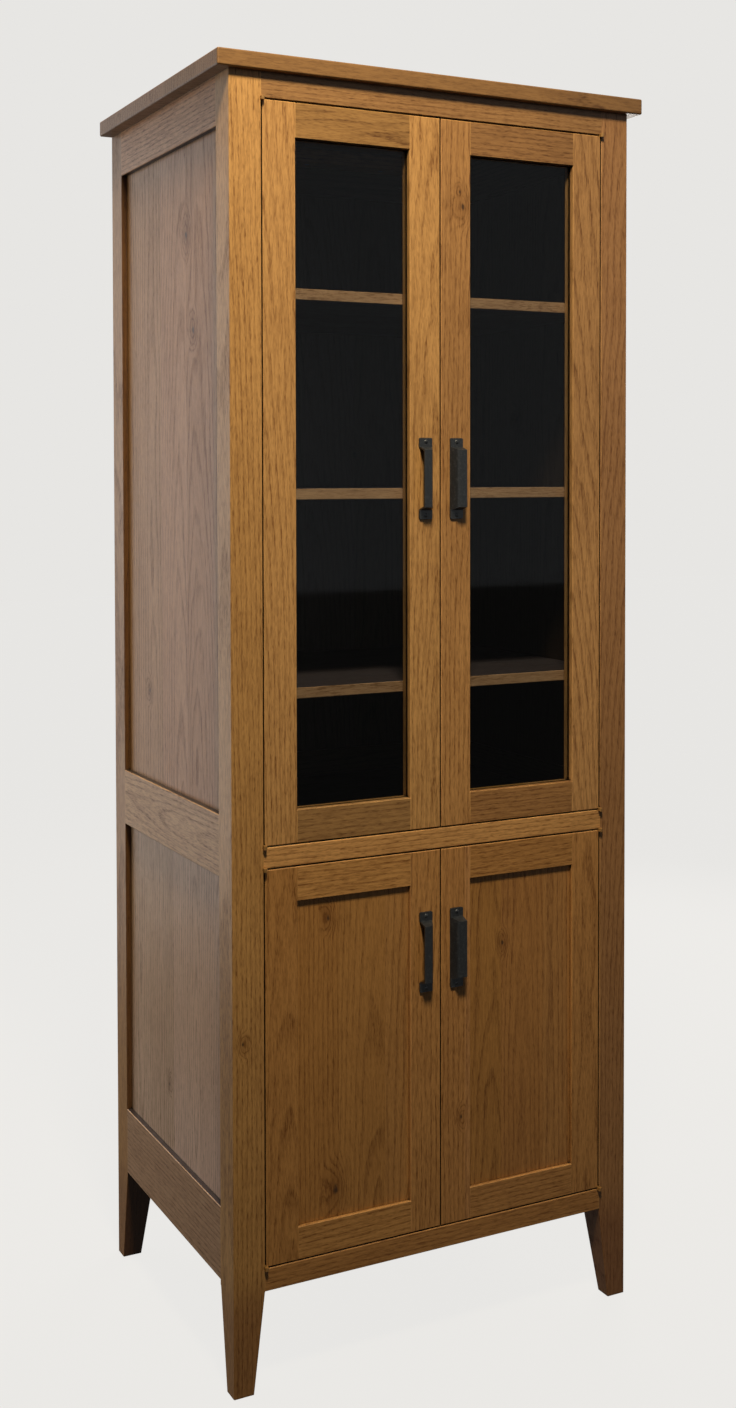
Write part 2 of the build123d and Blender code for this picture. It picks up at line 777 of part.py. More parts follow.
for level, heights in door_heights.items():
    for side in (LEFT, RIGHT):
        door = f"{level}_{SIDE_NAMES[side]}_door"
        width = opening_half - door_gap - door_gap / 2
        sight_x = door_span(side, stile_width, width - stile_width)
        sight_z = (heights[0] + door_bottom_rail_height, heights[1] - door_top_rail_height)
        whole_x = door_span(side, 0, width)
        sight_bevel = opening_bevel(upright_plane(front_y, FRONT), sight_x, sight_z)
        handle_x = side * (door_gap / 2 + stile_width / 2)
        handle_z = handle_heights[level]

        with BuildPart() as handle_screws:
            for end in (-1, 1):
                place = (handle_x, front_y - handle_sheet, screw_height(handle_z, end))
                with Locations(Location(place, TOWARDS_BACK)):
                    add(dome_screw.part)
        save(handle_screws, f"{door}_handle_screws")
        save(make_handle(side, handle_z), f"{door}_handle")

        with BuildPart() as screws:
            for upward in (False, True):
                door_leaf = leaf_heights(level, upward)[0]
                height = door_leaf[1] if upward else door_leaf[0]
                for x, y in leaf_screw_centres(side):
                    with Locations(Location((x, y, height), DOWN if upward else UP)):
                        add(flat_screw.part)
            place = (side * catch_x, strike_back, strike_heights[level])
            with Locations(Location(place, TOWARDS_FRONT)):
                add(strike_screw.part)
        save(screws, f"{door}_screws")

        with BuildPart() as leaves:
            for upward in (False, True):
                door_leaf = leaf_heights(level, upward)[0]
                with BuildSketch(Plane.XY.offset(door_leaf[0])):
                    leaf_plan(side)
                    with Locations((side * (opening_half - door_gap / 2), front_y - pivot_offset)):
                        Circle(hinge_pin_radius + hinge_pin_clearance, mode=Mode.SUBTRACT)
                extrude(amount=leaf_thickness)
            add(screws.part, mode=Mode.SUBTRACT)
        save(leaves, f"{door}_hinge_leaves")

        with BuildPart() as leaf_mortises:
            for upward in (False, True):
                door_leaf = inset(leaf_heights(level, upward)[0], -mortise_clearance)
                with BuildSketch(Plane.XY.offset(door_leaf[0])):
                    leaf_plan(side, mortise_clearance)
                extrude(amount=door_leaf[1] - door_leaf[0])

        # What is sunk into the frame from behind: a rebate for glass and beads, or a panel groove.
        filling, recess, thickness = fillings[level]
        filling_y = (front_y + recess, front_y + recess + thickness)
        with BuildPart() as seat:
            back = door_y[1] if level == "upper" else filling_y[1]
            block(inset(sight_x, -rebate_width), (filling_y[0], back), inset(sight_z, -rebate_width))

        rail_heights = [(heights[0], sight_z[0]), (sight_z[1], heights[1])]
        tenon_y = inset(door_y, (door_thickness - door_tenon_thickness) / 2)
        with BuildPart() as tenons:
            for rail_z in rail_heights:
                tenon_z = inset(rail_z, door_tenon_shoulder)
                block(inset(sight_x, -door_tenon_length), tenon_y, tenon_z)

        with BuildPart() as stiles:
            block((whole_x[0], sight_x[0]), door_y, heights)
            block((sight_x[1], whole_x[1]), door_y, heights)
            front_edges = stiles.edges().group_by(Axis.Y)[0]
            uprights = front_edges.filter_by(Axis.Z).sort_by(Axis.X)
            chamfer([uprights[0], uprights[-1]] + front_edges.filter_by(Axis.X), edge_ease)
            for cut in (tenons, seat, leaf_mortises, screws, handle_screws):
                add(cut.part, mode=Mode.SUBTRACT)
            add(sight_bevel, mode=Mode.SUBTRACT)
        save(stiles, f"{door}_stiles")

        with BuildPart() as rails:
            for rail_z in rail_heights:
                block(sight_x, door_y, rail_z)
            front_edges = rails.edges().group_by(Axis.Y)[0].filter_by(Axis.X).sort_by(Axis.Z)
            chamfer([front_edges[0], front_edges[-1]], edge_ease)
            add(tenons.part)
            for cut in (seat, screws):
                add(cut.part, mode=Mode.SUBTRACT)
            add(sight_bevel, mode=Mode.SUBTRACT)
        save(rails, f"{door}_rails")

        reach = rebate_width - panel_play
        with BuildPart() as pane:
            block(inset(sight_x, -reach), filling_y, inset(sight_z, -reach))
        save(pane, f"{door}_{filling}")
        if level == "upper":
            beads = make_beads(inset(sight_x, -rebate_width), inset(sight_z, -rebate_width))
            save(beads, f"{door}_beads")
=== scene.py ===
"""Pantry cabinet in oak with glazed upper doors: its finishes, iron handles, screws and a plain studio."""

import math

import bmesh
import bpy
from bpy.props import FloatProperty, FloatVectorProperty, IntProperty, PointerProperty
from mathutils import Matrix, Vector


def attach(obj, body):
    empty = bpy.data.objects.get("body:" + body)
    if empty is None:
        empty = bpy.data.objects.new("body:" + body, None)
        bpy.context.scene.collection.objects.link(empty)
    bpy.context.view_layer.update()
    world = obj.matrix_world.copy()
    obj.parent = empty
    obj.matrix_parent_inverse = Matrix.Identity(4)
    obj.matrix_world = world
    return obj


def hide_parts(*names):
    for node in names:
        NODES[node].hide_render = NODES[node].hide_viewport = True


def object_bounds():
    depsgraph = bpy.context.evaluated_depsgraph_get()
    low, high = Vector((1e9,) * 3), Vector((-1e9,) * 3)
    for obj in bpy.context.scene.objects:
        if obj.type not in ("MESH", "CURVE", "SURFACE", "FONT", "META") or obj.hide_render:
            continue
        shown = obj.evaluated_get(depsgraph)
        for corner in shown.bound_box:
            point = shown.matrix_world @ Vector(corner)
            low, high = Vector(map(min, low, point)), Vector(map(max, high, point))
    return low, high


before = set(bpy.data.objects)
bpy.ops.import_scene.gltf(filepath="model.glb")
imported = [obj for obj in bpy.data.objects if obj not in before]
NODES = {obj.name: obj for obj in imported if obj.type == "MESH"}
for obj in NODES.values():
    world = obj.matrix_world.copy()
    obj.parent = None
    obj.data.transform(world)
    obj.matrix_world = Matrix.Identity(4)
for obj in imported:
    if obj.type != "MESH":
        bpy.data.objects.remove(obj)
CAD_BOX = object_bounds()
DOORS = ("upper_left_door", "upper_right_door", "lower_left_door", "lower_right_door")

bl_info = {
    "name": "Pantry Cabinet",
    "version": (1, 0, 0),
    "blender": (4, 5, 0),
    "location": "3D View > Sidebar > Cabinet",
    "description": "Finishes, fittings and a studio for a tall oak pantry cabinet",
    "category": "Object",
}


# ---- Sizes and colours a user would change --------------------------------------------------------
def colour_property(name, description, default):
    return FloatVectorProperty(
        name=name, description=description, default=default, subtype="COLOR", size=3, min=0.0, max=1.0
    )


def length_property(name, description, default):
    return FloatProperty(
        name=name, description=description, default=default, min=0.0, precision=4,
        subtype="DISTANCE", unit="LENGTH",
    )


def share_property(name, description, default):
    return FloatProperty(
        name=name, description=description, default=default, min=0.0, max=1.0, subtype="FACTOR"
    )


class OakFinish(bpy.types.PropertyGroup):
    light_oak: colour_property("Light oak", "Early wood under a warm satin oil", (0.68, 0.380, 0.125))
    dark_oak: colour_property("Dark oak", "Late wood, streaks and pores", (0.235, 0.100, 0.022))
    knot_brown: colour_property("Knot brown", "Heart of a knot", (0.075, 0.032, 0.010))
    ring_spacing: length_property("Ring spacing", "Distance between growth rings", 0.0075)
    panel_board: length_property("Panel board", "Width of one board in a glued-up panel", 0.098)
    board_tone: share_property("Board tone", "How much one board differs from the next", 0.20)
    # The arrises are lightened partly as real wear and partly as a painted highlight.
    wear: share_property("Edge wear", "How far the arrises have rubbed lighter", 0.45)
    roughness: share_property("Roughness", "Sheen of the oil, lower is glossier", 0.42)


class MetalFinish(bpy.types.PropertyGroup):
    iron: colour_property("Black iron", "Blackened iron of the handles", (0.0125, 0.0140, 0.0155))
    # The worn iron colour also paints a highlight on the arrises.
    iron_worn_and_highlit: colour_property("Worn and highlit iron", "Iron where the black has rubbed thin", (0.085, 0.092, 0.100))
    steel: colour_property("Steel", "Shelf pins and screws", (0.52, 0.50, 0.47))
    hinge: colour_property("Hinge steel", "Bronze lacquer of the knife hinges", (0.52, 0.28, 0.085))
    plastic: colour_property("Catch plastic", "Moulded bodies of the magnetic catches", (0.19, 0.13, 0.08))


class GlassFinish(bpy.types.PropertyGroup):
    tint: colour_property("Tint", "Colour of the smoked glass", (0.002, 0.0022, 0.0025))
    density: share_property("Density", "Share of the light that the glass holds back", 0.24)


class Fittings(bpy.types.PropertyGroup):
    handle_edge: length_property("Handle edge", "Rounding of the folded iron's edges", 0.0005)
    slot_width: length_property("Slot width", "Width of a screw's slot", 0.0010)
    slot_depth: length_property("Slot depth", "Depth of a screw's slot", 0.0008)
    slot_seed: IntProperty(
        name="Slot seed", description="Picks how each screw's slot has come to rest", default=7
    )


class Studio(bpy.types.PropertyGroup):
    key_place: FloatVectorProperty(
        name="Key light", description="Place of the warm key light", default=(-0.65, -1.38, 3.40),
        subtype="TRANSLATION", unit="LENGTH", size=3,
    )
    key_power: FloatProperty(
        name="Key power", description="Power of the key light", default=300.0, unit="POWER"
    )
    key_colour: colour_property("Key colour", "Warm lamp colour", (1.0, 0.86, 0.62))
    sheen_power: FloatProperty(
        name="Sheen power", description="Power of the cool softbox beside the cabinet", default=24.0,
        unit="POWER",
    )
    sheen_colour: colour_property("Sheen colour", "Cool daylight colour", (0.84, 0.84, 0.86))
    fill_power: FloatProperty(
        name="Fill power", description="Power of the softbox on the far side", default=42.0, unit="POWER"
    )
    fill_colour: colour_property("Fill colour", "Neutral fill colour", (1.0, 0.95, 0.88))
    ambient: FloatProperty(
        name="Ambient", description="Strength of the light from all round", default=0.035, min=0.0, max=2.0
    )
    mirrored: FloatProperty(
        name="Mirrored room", description="How bright the room looks in glass and polish", default=0.50,
        min=0.0,
    )
    floor: colour_property("Floor", "Pale studio floor", (0.80, 0.79, 0.77))
    camera_place: FloatVectorProperty(
        name="Camera", description="Place of the camera", default=(-1.2359, -2.1028, 1.2990),
        subtype="TRANSLATION", unit="LENGTH", size=3,
    )
    camera_turn: FloatVectorProperty(
        name="Camera turn", description="Yaw to the right, pitch down and roll of the camera",
        default=(math.radians(23.728), math.radians(1.548), math.radians(0.287)), subtype="EULER", size=3,
    )
    lens: FloatProperty(name="Lens", description="Focal length in millimetres", default=38.14, min=1.0)
    shift: FloatVectorProperty(
        name="Shift", description="Sideways and upward shift of the lens", default=(0.1268, -0.1273), size=2
    )


# ---- Shader nodes ---------------------------------------------------------------------------------
class Recipe:
    """Adds nodes to one shader tree, so that a finish reads as a list of steps."""

    def __init__(self, tree):
        self.tree = tree

    def feed(self, socket, value):
        if isinstance(value, bpy.types.NodeSocket):
            self.tree.links.new(value, socket)
        elif socket.type == "RGBA" and len(value) == 3:
            socket.default_value = (*value, 1.0)
        else:
            socket.default_value = value

    def node(self, kind, inputs=(), **settings):
        made = self.tree.nodes.new("ShaderNode" + kind)
        for name, value in settings.items():
            setattr(made, name, value)
        for key, value in dict(inputs).items():
            self.feed(made.inputs[key], value)
        return made

    def group(self, name, inputs):
        return self.node("Group", inputs, node_tree=effect(name)).outputs

    def calc(self, operation, *values, clamp=False):
        made = self.node("Math", enumerate(values), operation=operation, use_clamp=clamp)
        return made.outputs[0]

    def mix(self, factor, first, second, mode="MIX"):
        made = self.node("Mix", {0: factor, 6: first, 7: second}, data_type="RGBA", blend_type=mode)
        return made.outputs[2]

    def step(self, value, low, high):
        """0 below low and 1 above high, eased in between."""
        made = self.node(
            "MapRange", {"Value": value, "From Min": low, "From Max": high}, interpolation_type="SMOOTHSTEP"
        )
        return made.outputs[0]

    def scaled(self, vector, scale):
        made = self.node("VectorMath", {0: vector, 1: scale}, operation="MULTIPLY")
        return made.outputs[0]

    def moved(self, vector, offset):
        return self.node("VectorMath", {0: vector, 1: offset}, operation="ADD").outputs[0]

    def bump(self, height, strength, distance):
        made = self.node("Bump", {"Height": height, "Strength": strength, "Distance": distance})
        return made.outputs[0]

    def noise(self, vector, scale, detail=2.0, roughness=0.5):
        """Noise with its own scale, in cells per metre, along each axis."""
        made = self.node(
            "TexNoise",
            {"Vector": self.scaled(vector, scale), "Scale": 1.0, "Detail": detail, "Roughness": roughness},
        )
        return made.outputs["Fac"]


def start_effect(name, inputs, outputs):
    """A shared effect: a node group with named inputs and outputs."""
    tree = bpy.data.node_groups.new(name, "ShaderNodeTree")
    for label, kind, default in inputs:
        socket = tree.interface.new_socket(label, in_out="INPUT", socket_type=kind)
        if default is not None:
            socket.default_value = default
    for label, kind in outputs:
        tree.interface.new_socket(label, in_out="OUTPUT", socket_type=kind)
    given = tree.nodes.new("NodeGroupInput").outputs
    result = tree.nodes.new("NodeGroupOutput").inputs
    return Recipe(tree), given, result


NUMBER, COLOUR, VECTOR = "NodeSocketFloat", "NodeSocketColor", "NodeSocketVector"


def oak_figure(name):
    """Rings, streaks, pores and knots of oak boards, grain along Z and boards side by side along X."""
    recipe, given, result = start_effect(
        name,
        [
            ("Vector", VECTOR, None),
            ("Light Oak", COLOUR, (0.6, 0.4, 0.2, 1.0)),
            ("Dark Oak", COLOUR, (0.25, 0.15, 0.05, 1.0)),
            ("Knot Brown", COLOUR, (0.05, 0.03, 0.01, 1.0)),
            ("Board Width", NUMBER, 0.1),
            ("Board Tone", NUMBER, 0.2),
            ("Heart Shift", NUMBER, 0.1),
            ("Ring Spacing", NUMBER, 0.004),
            ("Rings", NUMBER, 0.5),
            ("Streaks", NUMBER, 0.5),
            ("Heart", NUMBER, 0.0),
            ("Halo", NUMBER, 0.0),
            ("Roughness", NUMBER, 0.42),
            ("Seed", NUMBER, 0.0),
        ],
        [("Color", COLOUR), ("Roughness", NUMBER), ("Height", NUMBER)],
    )
    calc, step = recipe.calc, recipe.step
    place = recipe.node("SeparateXYZ", {0: given["Vector"]}).outputs

    # Which board this is, its own luck, and the place across it from its middle.
    start = calc("MULTIPLY", given["Seed"], 0.37)
    across = calc("ADD", calc("DIVIDE", place["X"], given["Board Width"]), start)
    board = calc("FLOOR", across)
    luck = recipe.node(
        "TexWhiteNoise", {"W": calc("MULTIPLY_ADD", given["Seed"], 7.31, board)}, noise_dimensions="1D"
    ).outputs
    chance = recipe.node("SeparateColor", {0: luck["Color"]}).outputs
    middle = calc("SUBTRACT", calc("SUBTRACT", across, board), 0.5)
    middle = calc("MULTIPLY", middle, given["Board Width"])
    shuffle = recipe.node("VectorMath", {0: luck["Color"], "Scale": 19.0}, operation="SCALE").outputs[0]
    wood = recipe.moved(given["Vector"], shuffle)

    # Growth rings: the board is a plane cut through slightly tapering cones.
    wander = recipe.noise(wood, (7.0, 7.0, 1.6), 3.0, 0.55)
    waver = recipe.noise(wood, (38.0, 38.0, 5.0), 2.0)
    shift = calc("MULTIPLY", calc("SUBTRACT", chance["Red"], 0.5), given["Heart Shift"])
    sideways = calc("ADD", middle, shift)
    slope = calc("MULTIPLY", calc("SUBTRACT", chance["Green"], 0.5), 0.14)
    depth = calc(
        "ADD", calc("MULTIPLY_ADD", place["Z"], slope, calc("MULTIPLY", chance["Blue"], 0.028)),
        calc("MULTIPLY", calc("SUBTRACT", wander, 0.5), 0.050),
    )
    radius = calc("ADD", calc("MULTIPLY", sideways, sideways), calc("MULTIPLY", depth, depth))
    bend = calc("MULTIPLY_ADD", given["Halo"], 0.020, calc("MULTIPLY", waver, 0.006))
    radius = calc("ADD", calc("SQRT", radius), bend)
    turn = calc("FRACT", calc("DIVIDE", radius, given["Ring Spacing"]))
    late = calc("MULTIPLY", step(turn, 0.48, 0.88), calc("SUBTRACT", 1.0, step(turn, 0.90, 1.0)))
    late = calc("MULTIPLY", late, step(recipe.noise(wood, (22.0, 22.0, 2.2), 2.0), 0.10, 0.55))

    # Streaks and pores run along the grain, each finer than the last. Pores crowd into the late wood.
    mottle = recipe.noise(wood, (20.0, 20.0, 5.0), 3.0, 0.6)
    fine = recipe.noise(wood, (330.0, 330.0, 30.0), 3.0, 0.65)
    dash = step(recipe.noise(wood, (620.0, 620.0, 85.0), 1.0), 0.50, 0.64)
    pore = step(recipe.noise(wood, (1500.0, 1500.0, 110.0), 1.0), 0.54, 0.68)
    crowd = calc("MULTIPLY_ADD", late, 0.45, 0.55)

    dashes = calc("MULTIPLY", calc("MULTIPLY", dash, crowd), 0.70)
    streaks = calc("ADD", calc("MULTIPLY", step(fine, 0.40, 0.66), 0.50), dashes)
    dark = calc("ADD", calc("MULTIPLY", late, given["Rings"]), calc("MULTIPLY", streaks, given["Streaks"]))
    dark = calc("ADD", dark, calc("MULTIPLY", step(mottle, 0.30, 0.75), 0.16))
    pore = calc("MULTIPLY", pore, crowd)
    speck = calc("MULTIPLY_ADD", given["Halo"], 0.35, calc("MULTIPLY", pore, 0.25))
    dark = calc("ADD", dark, speck, clamp=True)
    colour = recipe.mix(dark, given["Light Oak"], given["Dark Oak"])
    swing = calc("MULTIPLY", calc("SUBTRACT", luck["Value"], 0.5), given["Board Tone"])
    redder = calc("MULTIPLY", given["Board Tone"], 0.05)
    colour = recipe.node(
        "HueSaturation",
        {
            "Color": colour,
            "Hue": calc("MULTIPLY_ADD", calc("SUBTRACT", chance["Green"], 0.5), redder, 0.5),
            "Saturation": calc("MULTIPLY_ADD", swing, -0.6, 1.0),
            "Value": calc("MULTIPLY_ADD", swing, 1.6, 1.0),
        },
    ).outputs[0]
    recipe.feed(result["Color"], recipe.mix(given["Heart"], colour, given["Knot Brown"]))
    rough = calc("MULTIPLY_ADD", calc("SUBTRACT", dark, 0.4), 0.16, given["Roughness"])
    recipe.feed(result["Roughness"], rough)
    grooves = calc("ADD", calc("MULTIPLY", pore, -0.55), calc("MULTIPLY", fine, 0.5))
    recipe.feed(result["Height"], calc("ADD", grooves, calc("MULTIPLY", given["Heart"], -0.5)))
    return recipe.tree


def oak_knot(name):
    """The dark heart of one knot, longer along the grain, and the halo where the rings bend round it."""
    recipe, given, result = start_effect(
        name,
        [
            ("Vector", VECTOR, None), ("Place", VECTOR, None), ("Size", NUMBER, 0.004),
            ("Heart", NUMBER, 0.0), ("Halo", NUMBER, 0.0),
        ],
        [("Heart", NUMBER), ("Halo", NUMBER)],
    )
    calc, step = recipe.calc, recipe.step
    away = recipe.node("VectorMath", {0: given["Vector"], 1: given["Place"]}, operation="SUBTRACT")
    flat = recipe.scaled(away.outputs[0], (1.0, 0.0, 0.55))
    reach = recipe.node("VectorMath", {0: flat}, operation="LENGTH").outputs["Value"]
    ragged = recipe.noise(given["Vector"], (240.0, 240.0, 120.0))
    rough = calc("MULTIPLY", calc("SUBTRACT", ragged, 0.5), 1.6)
    reach = calc("ADD", calc("DIVIDE", reach, given["Size"]), rough)
    heart = calc("SUBTRACT", 1.0, step(reach, 0.30, 1.35))
    halo = calc("SUBTRACT", 1.0, step(reach, 0.8, 8.0))
    recipe.feed(result["Heart"], calc("MAXIMUM", heart, given["Heart"]))
    recipe.feed(result["Halo"], calc("MAXIMUM", halo, given["Halo"]))
    return recipe.tree


def edge_wear_and_highlight(name):
    """A mask that is 1 on convex arrises, broken up by noise: partly where hands and cloths rub, partly for
    a painted highlight.
    """
    recipe, given, result = start_effect(
        name,
        [("Radius", NUMBER, 0.002), ("Vector", VECTOR, None), ("Patches", NUMBER, 60.0)],
        [("Mask", NUMBER)],
    )
    rounded = recipe.node("Bevel", {"Radius": given["Radius"]}, samples=4).outputs[0]
    flat = recipe.node("NewGeometry").outputs["Normal"]
    turned = recipe.node("VectorMath", {0: rounded, 1: flat}, operation="DOT_PRODUCT").outputs["Value"]
    edge = recipe.step(turned, 0.995, 0.90)
    grain = recipe.node(
        "TexNoise", {"Vector": given["Vector"], "Scale": given["Patches"], "Detail": 3.0}
    ).outputs["Fac"]
    recipe.feed(result["Mask"], recipe.calc("MULTIPLY", edge, recipe.step(grain, 0.30, 0.62)))
    return recipe.tree


def paint_gap_shade(name):
    """A mask of painted shade in gaps, quirks and corners, where little light gets in."""
    recipe, given, result = start_effect(name, [("Reach", NUMBER, 0.006)], [("Mask", NUMBER)])
    openness = recipe.node("AmbientOcclusion", {"Distance": given["Reach"]}, samples=6).outputs["AO"]
    recipe.feed(result["Mask"], recipe.step(openness, 0.68, 0.32))
    return recipe.tree


def fine_dust(name):
    """A mask of thin dust that settles on faces that look up."""
    recipe, given, result = start_effect(
        name, [("Vector", VECTOR, None), ("Amount", NUMBER, 0.2)], [("Mask", NUMBER)]
    )
    facing = recipe.node("SeparateXYZ", {0: recipe.node("NewGeometry").outputs["Normal"]}).outputs["Z"]
    patches = recipe.noise(given["Vector"], (14.0, 14.0, 14.0), 5.0, 0.65)
    settled = recipe.calc("MULTIPLY", recipe.step(facing, 0.80, 0.98), recipe.step(patches, 0.25, 0.75))
    recipe.feed(result["Mask"], recipe.calc("MULTIPLY", settled, given["Amount"]))
    return recipe.tree


def iron_skin(name):
    """Blackened iron: a fine cast skin with small pits, speckle, rubbed places and arrises lightened partly
    as a painted highlight.
    """
    recipe, given, result = start_effect(
        name,
        [
            ("Vector", VECTOR, None), ("Iron", COLOUR, (0.01, 0.01, 0.01, 1.0)),
            ("Worn And Highlit", COLOUR, (0.1, 0.1, 0.1, 1.0)), ("Edge", NUMBER, 0.0),
        ],
        [("Color", COLOUR), ("Roughness", NUMBER), ("Height", NUMBER)],
    )
    calc, step = recipe.calc, recipe.step
    lumps = recipe.noise(given["Vector"], (260.0, 260.0, 260.0), 3.0, 0.6)
    grit = recipe.noise(given["Vector"], (1500.0, 1500.0, 1500.0), 2.0, 0.6)
    rubbed_and_highlit = calc("MULTIPLY", step(lumps, 0.48, 0.74), 0.35)
    rubbed_and_highlit = calc("ADD", rubbed_and_highlit, calc("MULTIPLY", step(grit, 0.56, 0.70), 0.30))
    # The arrises are lightened partly by wear and partly as a painted highlight.
    rubbed_and_highlit = calc("ADD", rubbed_and_highlit, calc("MULTIPLY", given["Edge"], 0.65), clamp=True)
    recipe.feed(result["Color"], recipe.mix(rubbed_and_highlit, given["Iron"], given["Worn And Highlit"]))
    recipe.feed(result["Roughness"], calc("MULTIPLY_ADD", lumps, 0.25, 0.30))
    recipe.feed(result["Height"], calc("MULTIPLY_ADD", lumps, 0.6, calc("MULTIPLY", grit, 0.4)))
    return recipe.tree


EFFECTS = {
    "Oak Figure": oak_figure, "Oak Knot": oak_knot, "Edge Wear": edge_wear_and_highlight, "Gap Grime": paint_gap_shade,
    "Fine Dust": fine_dust, "Iron Skin": iron_skin,
}


def effect(name):
    return bpy.data.node_groups.get(name) or EFFECTS[name](name)


# ---- Finishes -------------------------------------------------------------------------------------
GRAIN = {  # turns that lay the grain along Z and the boards side by side along X
    "upright": Matrix.Identity(3),
    "upright, boards front to back": Matrix(((0, 1, 0), (-1, 0, 0), (0, 0, 1))),
    "across": Matrix(((0, 0, -1), (0, 1, 0), (1, 0, 0))),
    "across, boards front to back": Matrix(((0, 1, 0), (0, 0, 1), (1, 0, 0))),
    "front to back": Matrix(((0, 0, 1), (1, 0, 0), (0, 1, 0))),
}
STILE_BOARD, RAIL_BOARD = 0.1475, 0.26  # so wide that each stile and rail is cut from one board
WOOD_ARRIS, WOOD_GAP, IRON_GAP = 0.0018, 0.006, 0.012
SAME_PLACE, FLAT_ANGLE, SHARP_ANGLE = 1e-6, 1e-3, math.radians(32)
DOME_RISE, DOME_NECK, DOME_SHANK = 0.0016, 0.0002, 0.0018  # of the handle screws
LEAST_CROWN = 0.00002
KEY_SIZE, KEY_BEAM = 0.22, math.radians(58)
SOFTBOX_WIDTH, SOFTBOX_BEHIND = 1.6, 1.25
FLOOR_REACH = 14.0
FLOOR_DIM = 0.94  # share of the light that the floor swallows, so that little is thrown back up
FLOOR_IN_POLISH = 0.14  # how bright the floor looks in glass and polish
DUST_COLOUR = (0.62, 0.58, 0.52)
# Painted shade: the colours by which inside faces and the rear posts' hidden faces are darkened.
PAINTED_INSIDE_SHADE = (0.10, 0.125, 0.23)
PAINTED_POST_SHADE = (0.30, 0.27, 0.30)
# Painted shade: the near-black colours that gaps, quirks and corners on oak and iron are darkened to.
PAINTED_GAP_SHADE = (0.012, 0.007, 0.004)
PAINTED_IRON_SHADE = (0.004, 0.004, 0.004)


def shade(colour, share):
    """A colour made lighter or darker, with no part above 1."""
    return [min(1.0, part * share) for part in colour]


def new_material(name):
    material = bpy.data.materials.new(name)
    material.use_nodes = True
    material.node_tree.nodes.clear()
    recipe = Recipe(material.node_tree)
    place = recipe.node("TexCoord").outputs["Object"]
    return material, recipe, place


def finish_material(recipe, inputs):
    shader = recipe.node("BsdfPrincipled", inputs)
    recipe.node("OutputMaterial", {"Surface": shader.outputs[0]})


def oak_material(name, grain, seed, board=0.5, rings=0.28, streaks=0.60, knots=(), tone=None,
                 light=(1.0, 1.0, 1.0), lower=None, dust=0.0, outward=None, painted_shade=PAINTED_INSIDE_SHADE, heart_shift=0.03):
    """Oiled oak with its grain turned to suit the piece.

    light scales both oak tones, partly for the board's own tone and partly as painted light and shade. Each
    knot is its place and its size. All but the faces that look along outward are darkened with painted
    shade.
    lower is (height where a second tone ends, height where the first one starts, the second tone as shares
    of the first).
    """
    oak = bpy.context.scene.cabinet_oak
    material, recipe, place = new_material(name)
    turned = recipe.node("Mapping", {"Vector": place, "Rotation": GRAIN[grain].to_euler()}).outputs[0]
    knot = {"Heart": 0.0, "Halo": 0.0}
    for *spot, size in knots:
        knot = recipe.group(
            "Oak Knot",
            {
                "Vector": turned, "Place": GRAIN[grain] @ Vector(spot), "Size": size,
                "Heart": knot["Heart"], "Halo": knot["Halo"],
            },
        )
    figure = recipe.group(
        "Oak Figure",
        {
            "Vector": turned,
            "Light Oak": [part * share for part, share in zip(oak.light_oak, light)],
            "Dark Oak": [part * share for part, share in zip(oak.dark_oak, light)],
            "Knot Brown": tuple(oak.knot_brown),
            "Board Width": board,
            "Board Tone": oak.board_tone if tone is None else tone,
            "Ring Spacing": oak.ring_spacing,
            "Rings": rings,
            "Streaks": streaks,
            "Heart": knot["Heart"],
            "Halo": knot["Halo"],
            "Heart Shift": heart_shift,
            "Roughness": oak.roughness,
            "Seed": float(seed),
        },
    )
    # The arrises turn lighter, partly as wear and partly as a painted highlight.
    wear = recipe.group("Edge Wear", {"Radius": WOOD_ARRIS, "Vector": place, "Patches": 45.0})["Mask"]
    rubbed_and_highlit = shade(oak.light_oak, 1.25)
    colour = recipe.mix(recipe.calc("MULTIPLY", wear, oak.wear), figure["Color"], rubbed_and_highlit)
    if dust:
        settled = recipe.group("Fine Dust", {"Vector": place, "Amount": dust})["Mask"]
        colour = recipe.mix(settled, colour, DUST_COLOUR)
    # Painted shade: every face that does not look along outward is multiplied by the shade colour.
    if outward:
        normal = recipe.node("NewGeometry").outputs["Normal"]
        facing = recipe.node("VectorMath", {0: normal, 1: outward}, operation="DOT_PRODUCT")
        shaded = recipe.mix(1.0, colour, painted_shade, "MULTIPLY")
        colour = recipe.mix(recipe.step(facing.outputs["Value"], 0.3, 0.5), shaded, colour)
    if lower:
        below, above, shares = lower
        height = recipe.node("SeparateXYZ", {0: place}).outputs["Z"]
        colour = recipe.mix(recipe.step(height, below, above), recipe.scaled(colour, shares), colour)
    # Painted shade: gaps, quirks and corners darkened towards near black.
    gap_shade = recipe.group("Gap Grime", {"Reach": WOOD_GAP})["Mask"]
    colour = recipe.mix(gap_shade, colour, PAINTED_GAP_SHADE)
    finish_material(
        recipe,
        {
            "Base Color": colour, "Roughness": figure["Roughness"], "Specular IOR Level": 0.42,
            "Normal": recipe.bump(figure["Height"], 0.35, 0.0005),
        },
    )
    return material


